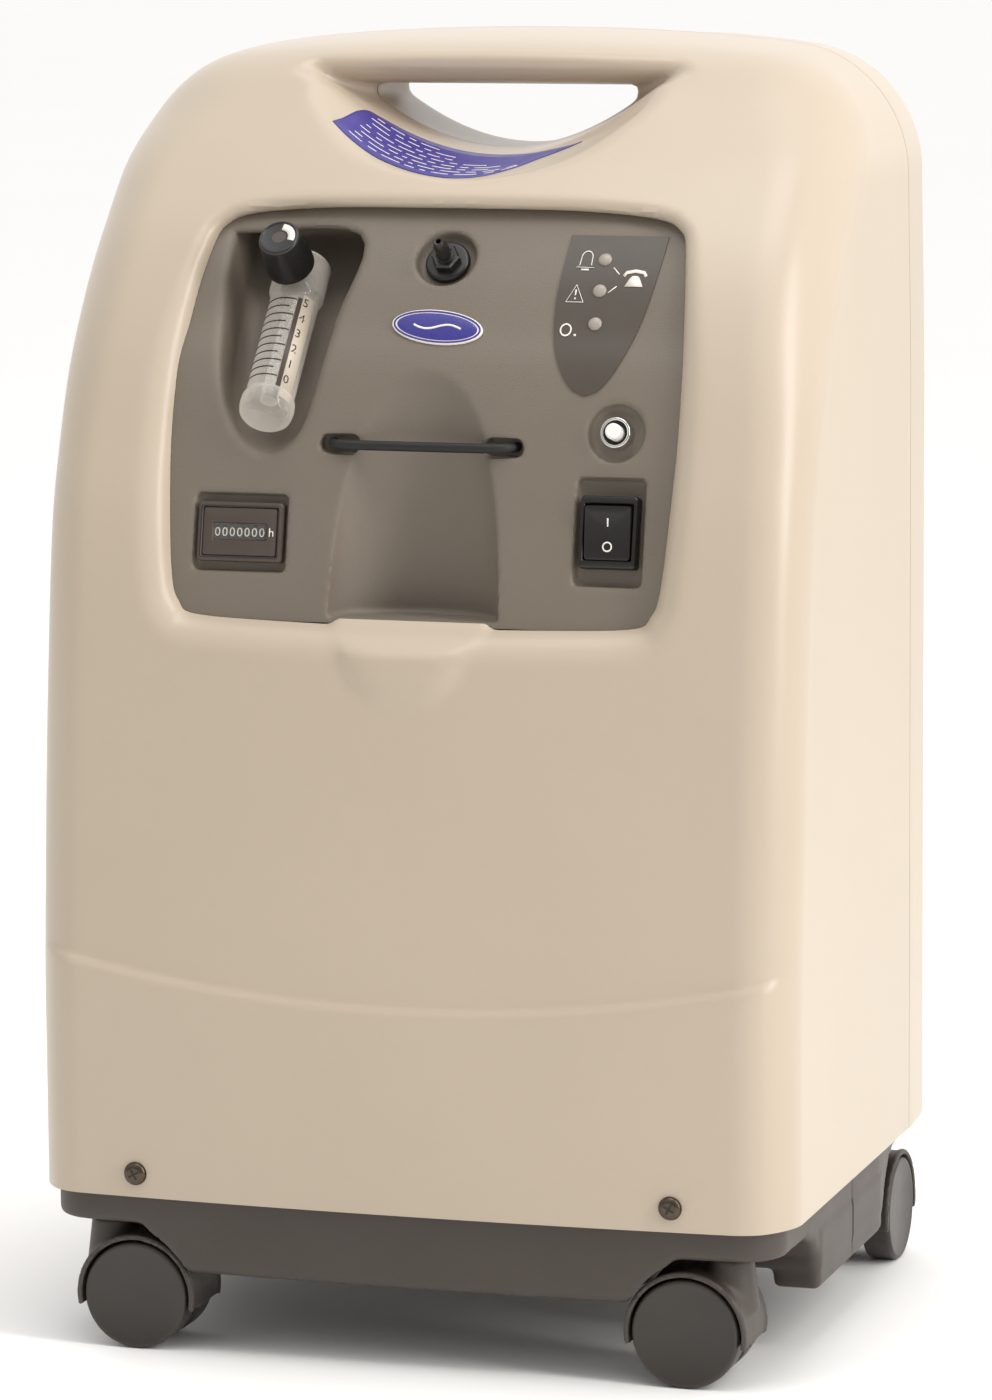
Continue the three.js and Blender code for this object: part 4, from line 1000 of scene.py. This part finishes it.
def build_overlay():
    corners = [(61.2, 540.2), (60, 525), (59.2, 508), (61, 492), (66, 479.5), (73, 470.5), (80.6, 467.8),
               (88, 472.5), (95, 483), (101.5, 498), (105.5, 513), (108, 528), (109.3, 540.4)]
    outline = spline(corners, 6)
    low = outline[:, 1].argmin()
    left, right = outline[: low + 1][::-1], outline[low:]
    heights = np.linspace(outline[low, 1] + 0.02, 540.2, 40)
    rows = []
    for z in heights:
        x0, x1 = np.interp(z, left[:, 1], left[:, 0]), np.interp(z, right[:, 1], right[:, 0])
        rows.append([(x, float(panel_face(z)) - 0.75, z) for x in np.linspace(x0, x1, 9)])
    piece("indicator_film", sheet(rows, 0.4), OVERLAY, "indicator_overlay")
    marks = []
    bell_top = arc(71, 531, 2.7, 180, 0, 10)
    bell = [(66.2, 526.5), (68, 527.5), (68.3, 531), *bell_top, (73.7, 527.5), (75.4, 526.5)]
    marks.append(ribbon([(a, b - 0.5) for a, b in bell], 0.45, film, True))
    marks.append(ribbon([(64, 510.2), (72.6, 510.2), (68.3, 518)], 0.5, film, True))
    marks.append(ribbon(arc(66, 497.5, 2.6, 0, 342, 22), 0.75, film, True))
    strokes = (
        (68.9, 524.9, 72.7, 524.9, 0.8), (68.3, 513.2, 68.3, 515.8, 0.7), (68.3, 511.4, 68.3, 512.2, 0.7),
        (70.2, 495.2, 71.4, 495.2, 0.9), (85, 526, 88.4, 523, 0.5), (84.2, 514.6, 88, 517.6, 0.5),
    )
    for a0, b0, a1, b1, width in strokes:
        marks.append(ribbon([(a0, b0), (a1, b1)], width, film))
    handset = [(90.8, 522.2), (92, 523.9), (96.3, 524.6), (100.6, 523.9), (101.8, 522.2)]
    marks.append(ribbon(handset, 1.5, film))
    cradle = [(91.8, 517.6), (100.8, 517.6), (98.8, 521.2), (97.6, 522.4), (95, 522.4), (93.8, 521.2)]
    marks.append(filled(cradle, film))
    piece("indicator_icons", merge(*marks), PRINT, sharp=0)
    dome = [(3.35, 0.9), (3.3, -1.0), (3.0, -1.5), (2.2, -1.95), (1.1, -2.2), (0, -2.25)]
    for name, z in LED_Z.items():
        piece(f"{name}_lens", lathe(dome[::-1], 40), LENS, name, matrix=panel_matrix(LED_X, z))


def build_outlet():
    at = panel_matrix(*OUTLET)
    seat = 6 - GAP
    flange = rounded([(4.6, seat - 3.2), (10, seat - 3.2), (11, seat - 2.2), (11, seat), (4.6, seat)], 0.6)
    nut = [(r, seat - 3.2 - h) for r, h in ((4.7, 0), (7.2, 0), (7.2, 3.2), (6.4, 4.2), (4.7, 4.2))]
    piece(
        "outlet_seat", merge(lathe([*flange, flange[0]], 56), lathe([*nut, nut[0]], 6)), BLACK,
        "outlet_flange", sharp=30, matrix=at,
    )
    ridges = []
    for k in range(3):
        y = -14 + 4 * k
        ridges += [(2.5, y), (3.5, y + 2.9), (3.5, y + 3.3), (2.6, y + 3.5)]
    shank = [(4.2, -1.6), (4.5, -1), (4.5, 12), (1.3, 12), (1.3, 6)]
    barb = [(1.3, 6), (1.3, -14.5), (2.0, -14.6), *ridges, *shank]
    piece("outlet_spigot", lathe(barb, 40), BRASS, "outlet_barb", sharp=30, matrix=at)


def build_breaker():
    at = panel_matrix(*BREAKER)
    seat = 5 - GAP
    ring = rounded([(5.9, 2), (5.9, -1.3), (6.3, -1.6), (7.1, -1.6), (7.5, -1.0), (7.5, seat)], 0.4)
    well = [(4.3, 1.6), (5.9, 1.6), (6.0, 2.0), (7.4, seat), (4.3, seat), (4.3, 1.6)]
    piece(
        "breaker_ring", lathe([*ring, (5.9, seat), ring[0]], 64), CHROME, "breaker_collar",
        matrix=at,
    )
    piece("breaker_well", lathe(well, 48), BLACK, matrix=at)
    push = rounded([(0, -5.9), (3.2, -5.9), (3.9, -5.2), (3.9, 13)], 0.6)
    piece(
        "breaker_push", lathe([*push, (0, 13)], 48), WHITE, "breaker_button",
        body="breaker", matrix=at,
    )


ROCKER_TILT = math.radians(6)


def build_switch():
    at = panel_matrix(*SWITCH)
    seat = 6 - GAP
    frame_part = frame_plate(14, 17.2, 1.6, -seat, 1.8, 11.9, 13.5, -seat + 1.5)
    piece("switch_frame", y_up(frame_part), BLACK, "switch_bezel", matrix=at)
    rings = [at_height(round_box(11.3, 12.8, 1.4), -2.2)]
    for scale, drop in ((1.0, 0.9), (0.985, 0.25), (0.94, 0.0), (0.7, 0.0), (0.45, 0.0), (0.2, 0.0)):
        outline = round_box(11.3 * scale, 12.8 * scale, 1.4 * scale)
        rings.append([(a, b, 4.7 - 1.3 * (1 - (b / 12.8) ** 2) - drop) for a, b in outline])
    tilt = Matrix.Translation((0, 1.5, 0)) @ Matrix.Rotation(ROCKER_TILT, 4, "X")
    place = at @ tilt
    piece(
        "switch_paddle", y_up(loops(rings)), BLACK, "switch_rocker", body="rocker",
        matrix=place,
    )

    def paddle(a, b):
        return a, -(4.7 - 1.3 * (1 - (b / 12.8) ** 2) + 0.12), b

    marks = merge(ribbon([(0, 3.0 + k) for k in range(5)], 0.75, paddle),
                  ribbon(arc(0, -6.5, 2.1, 0, 342, 24), 0.7, paddle, True))
    piece("switch_marks", marks, PRINT, body="rocker", sharp=0, matrix=place)


def digits(text, size, place):
    """Printed characters laid on a surface by place(a, b)."""
    curve = bpy.data.curves.new("text", "FONT")
    curve.body = text
    curve.size = size
    curve.resolution_u = 3
    holder = bpy.data.objects.new("text", curve)
    bpy.context.scene.collection.objects.link(holder)
    bpy.context.view_layer.update()
    mesh = bpy.data.meshes.new_from_object(holder.evaluated_get(bpy.context.evaluated_depsgraph_get()))
    bpy.data.objects.remove(holder)
    flat = [(v.co.x, v.co.y) for v in mesh.vertices]
    mesh.calc_loop_triangles()
    faces = [tuple(t.vertices) for t in mesh.loop_triangles]
    bpy.data.meshes.remove(mesh)
    return thin([place(a, b) for a, b in flat], faces, 0.1)


def build_meter():
    at = panel_matrix(*METER)
    seat = 5 - GAP
    case = frame_plate(21.5, 14.3, 1.8, -seat, 1.0, 19, 11.8, -1.6, 1.0)
    inner = frame_plate(18.7, 11.5, 1.2, -1.6, 0.75, 13.6, 4.1, -1.2, 0.5)
    piece("meter_case", merge(y_up(case), y_up(inner)), FACE, "hour_meter_case", matrix=at)
    # A dark line painted round the rim of the case's hollow: painted shade of the slit at its edge.
    rim_shade = ribbon(round_box(19.6, 12.3, 1.2), 0.5, lambda a, b: (a, -1.12, b), True)
    piece("meter_rim_painted_shade", rim_shade, INK_AND_PAINTED_SHADE, sharp=0, matrix=at)
    drums = []
    for k in range(7):
        outline = round_box(1.65, 3.3, 0.4, 3, (-11.3 + 3.75 * k, 0))
        drums.append(y_up(prism(outline, -2.2, -0.6, 0.3)))
    piece("meter_drums", merge(*drums), INK_AND_PAINTED_SHADE, matrix=at)
    numbers = [digits("0", 6.2, lambda a, b, k=k: (a - 13.2 + 3.75 * k, 0.5, b - 2.2)) for k in range(7)]
    piece("meter_digits", merge(*numbers), PRINT, sharp=0, matrix=at)
    cover = y_up(prism(round_box(13.4, 3.9, 0.6), 0.0, 0.5, 0.15))
    piece("meter_glass", cover, PANE, "hour_meter_window", matrix=at)
    letter = digits("h", 6.0, lambda a, b: (a + 14.6, -0.95, b - 2))
    piece("meter_unit", letter, PRINT, sharp=0, matrix=at)


def build_badge():
    at = panel_matrix(*BADGE_AT) @ Matrix.Rotation(math.radians(5), 4, "Y")

    def oval(a, b):
        return [(a * math.cos(t), b * math.sin(t)) for t in np.linspace(0, 2 * math.pi, 73)[:-1]]

    plate = y_up(prism(oval(23, 8.9), 0.2, 1.3, 0.5))
    ring = y_up(prism(oval(20.4, 6.9), 1.0, 1.5, 0.2))
    piece("badge_plate", plate, PRINT, "panel_badge", matrix=at)
    rim = ribbon(oval(21.7, 7.8), 0.9, lambda a, b: (a, -1.46, b), True)
    piece("badge_centre", merge(ring, rim), BADGE, matrix=at)
    wave = [(t, 1.5 * math.sin(t / 12 * math.pi)) for t in np.linspace(-12, 12, 30)]
    piece(
        "badge_lines", ribbon(wave, 1.0, lambda a, b: (a, -1.66, b)), PRINT, sharp=0,
        matrix=at,
    )


def build_strap():
    half = [(46, -84), (46, -96), (43.5, -104), (36, -107), (18, -107.6)]
    points = [(x, y, STRAP_Z) for x, y in half] + [(-x, y, STRAP_Z) for x, y in half[::-1]]
    piece("bottle_band", tube(points, 2.4), RUBBER, "bottle_strap")


# ---- flowmeter: Z runs up the tube, -Y towards the knob ----
FLOW_R = 12.0
KNOB_Z = 81.3
KNOB_FACE = 38.9
FLOAT_R = 4.0
FLOAT_FLOOR = 12.0
SCALE_ZERO = 19.5
LITRE = 9.1
STRIP = (29.0, 40.0, 78.0)  # the dark line's first edge, the number strip's first and last edge, degrees


def on_tube(radius):
    """Places (degrees round from the front, height) on a cylinder about the tube's axis."""
    def place(a, b):
        t = math.radians(a)
        return radius * math.sin(t), -radius * math.cos(t), b
    return place


def tube_band(a0, a1, s0, s1, radius):
    """A thin patch round the tube, from one angle and height to another."""
    path = [(a0 + (a1 - a0) * i / 16, (s0 + s1) / 2) for i in range(17)]
    return ribbon(path, s1 - s0, on_tube(radius))


def build_flowmeter():
    foot = Matrix.Translation(FLOW_FOOT) @ Matrix.Rotation(-FLOW_TILT, 4, "X")
    outer = rounded([(0, 0), (9, 0), (12.4, 2.5), (13.4, 7), (13.2, 11.5), (12, 14), (12, 70.5), (13.5, 74),
                     (13.5, 93.5), (11, 96), (0, 96)], 1.6)
    bore = [(0, 72), (4.8, 72), (4.5, FLOAT_FLOOR), (0, FLOAT_FLOOR)]
    neck = lathe([(0, -15.8), (6.6, -15.8), (7, -15.4), (7, -11), (0, -11)], 40)
    neck = [(x, y, z + KNOB_Z) for x, y, z in neck[0]], neck[1]
    piece(
        "flow_tube", lathe(outer, 64, "z"), CLEAR, "flowmeter_body", sharp=34,
        matrix=foot,
    )
    hollow = lathe(bore[::-1], 32, "z")
    piece(
        "flow_bore", (hollow[0], [f[::-1] for f in hollow[1]]), CLEAR, sharp=34,
        matrix=foot,
    )
    piece("flow_neck", neck, CLEAR, matrix=foot)
    marks = []
    place = on_tube(FLOW_R + 0.16)
    for k in range(11):
        s = SCALE_ZERO + LITRE * k / 2
        a0, a1 = (-82, 27) if k % 2 == 0 else (-56, 14)
        marks.append(tube_band(a0, a1, s - 0.32, s + 0.32, FLOW_R + 0.16))
    for k in range(6):
        foot_z = SCALE_ZERO + LITRE * k - 2.3
        marks.append(digits(str(k), 6.6, lambda a, b, foot_z=foot_z: place(42 + a * 4.7, foot_z + b)))
    piece("flow_scale", merge(*marks), INK_AND_PAINTED_SHADE, sharp=0, matrix=foot)
    piece(
        "flow_line", tube_band(STRIP[0], STRIP[1], 12, 66.5, FLOW_R + 0.12), FACE,
        sharp=0, matrix=foot,
    )
    piece(
        "flow_strip", tube_band(STRIP[1], STRIP[2], 9, 69, FLOW_R + 0.1), SCALE, sharp=0,
        matrix=foot,
    )
    ball = [(FLOAT_R * math.sin(t), FLOAT_FLOOR + FLOAT_R + GAP - FLOAT_R * math.cos(t))
            for t in np.linspace(0, math.pi, 20)]
    piece(
        "flow_ball", lathe(ball, 32, "z"), INK_AND_PAINTED_SHADE, "flowmeter_float", body="flow_float",
        matrix=foot,
    )
    knob_at = foot @ Matrix.Translation((0, -KNOB_FACE, KNOB_Z))
    rim = [(8.3, 0.5), (8.6, 0), (9.5, 0), (10.2, 1.2)]
    grip = rounded([(0, 0.5), *rim, (12, 19.5), (12, 22.6), (0, 22.6)], 0.45)
    piece(
        "flow_grip", lathe(grip, 72), KNOB, "flowmeter_knob", body="flow_knob", sharp=34,
        matrix=knob_at,
    )
    pointer = ribbon(arc(0, 0, 6.3, 84, -14, 24), 3.6, lambda a, b: (a, 0.36, b))
    piece("flow_pointer", pointer, PRINT, body="flow_knob", sharp=0, matrix=knob_at)
    centre = lathe([(0, 0.3), (3.4, 0.32), (3.6, 0.6), (0, 0.6)], 40)
    piece("flow_centre", centre, FACE, body="flow_knob", matrix=knob_at)


# ---- label and screws ----
LABEL_FRONT = [
    (-74, -13), (-63.5, -19.7), (-49, -27.7), (-38, -32.4), (-27, -36.4), (-14, -39.6), (-2, -40),
    (11, -36.3), (22, -26), (32, -14.2), (45, -8.5), (51, -6.9),
]
LABEL_BACK = [
    (-64, 16.5), (-56, 17), (-44, 15.4), (-34, 14.1), (-24, 12.7), (-14, 11.1), (-3, 9.1), (9.5, 6),
    (22.7, 1.8), (35.6, -1.6), (46, -5.3), (51.5, -6.5),
]


def build_label():
    front_edge, back_edge = spline(LABEL_FRONT, 8), spline(LABEL_BACK, 8)
    rows = [on_scoop(front_edge + (back_edge - front_edge) * k / 8, 0.3) for k in range(9)]
    piece("grip_label", sheet(rows, 0.25), LABEL, "handle_label", sharp=0)
    lines = []
    words = (5, 3, 8, 4, 2, 6, 7, 3)
    stroke = np.array([0, 0.3, 0.1])
    for row in range(8):
        at, word = 6 + row % 3, row
        share = 0.12 + 0.1 * row
        while at < 67 - 5 * row:
            spots = np.arange(at, at + words[word % 8] + 1)
            middle = on_scoop(front_edge[spots] * (1 - share) + back_edge[spots] * share, 0.42)
            lines.append(sheet([middle - stroke, middle + stroke], 0.08))
            at += words[word % 8] + 2
            word += 1
    piece("label_lines", merge(*lines), PRINT, sharp=0)


def on_scoop(places, lift):
    """Places (x, y) set on the grip's surface and lifted off it."""
    points = np.array([(x, y, float(scoop_floor(x, y)) + 0.4) for x, y in places])
    return settle(lambda x, y, z: front_solid(x, y, z) - lift, points, 3, 6)


def scoop_floor(x, y):
    half, side, low, _ = (np.interp(y, scoop_y, column) for column in scoop_columns)
    return low + (side - low) * (x / half) ** 2


def build_screws():
    head = rounded([(0, 0.2), (3.6, 0.3), (5.3, 1.5), (5.9, 3.2), (2.6, 3.2), (2.6, 14), (0, 14)], 0.5)
    crown = CROWN * (SCREW_X / (HALF_WIDTH - 27)) ** 2
    for name, side in (("left", -1), ("right", 1)):
        at = Matrix.Translation((side * SCREW_X, FRONT_Y + crown - GAP - 3, SCREW_Z))
        piece(
            f"screw_{name}_head", lathe(head, 40), SCREW, f"cover_screw_{name}", sharp=30,
            matrix=at,
        )
        # The black cross on each head is painted shade: a flat dark plate where the shadowed cross recess
        # would be.
        bars = ((2.9, 0.55, 0.34), (0.55, 2.9, 0.33))
        cross = [y_up(prism(round_box(a, b, 0.3, 3), -0.1, top)) for a, b, top in bars]
        piece(
            f"screw_{name}_cross", merge(*cross), INK_AND_PAINTED_SHADE, sharp=30,
            matrix=at @ Matrix.Translation((0, 0.5, 0)) @ Matrix.Rotation(0.5 * side, 4, "Y"),
        )


# ---- carried-over CAD nodes ----
INSIDE = {
    "compressor": ALLOY, "valve_manifold": ALLOY, "heat_exchanger": ALLOY, "sieve_bed": TANK,
    "product_tank": TANK, "circuit_board": BOARD, "fan_": BLACK, "product_hose": HOSE, "power_inlet": BLACK,
    "filter_door": BEIGE, "caster_stem": STEEL, "caster_axle": STEEL, "compressor_mount": RUBBER,
}


def finish_nodes():
    for name, node in nodes.items():
        finishes = [look for start, look in INSIDE.items() if name.startswith(start)]
        if finishes and not node.hide_render:
            node.data.materials.clear()
            node.data.materials.append(finishes[-1])
            edge = node.modifiers.new("edges", "BEVEL")
            edge.width = 0.0006
            edge.segments = 2
            edge.limit_method = "ANGLE"
            edge.angle_limit = math.radians(40)


build_front_cover()
build_rear_cover()
build_panel()
build_base()
build_casters()
build_overlay()
build_outlet()
build_breaker()
build_switch()
build_meter()
build_badge()
build_strap()
build_flowmeter()
build_label()
build_screws()
finish_nodes()
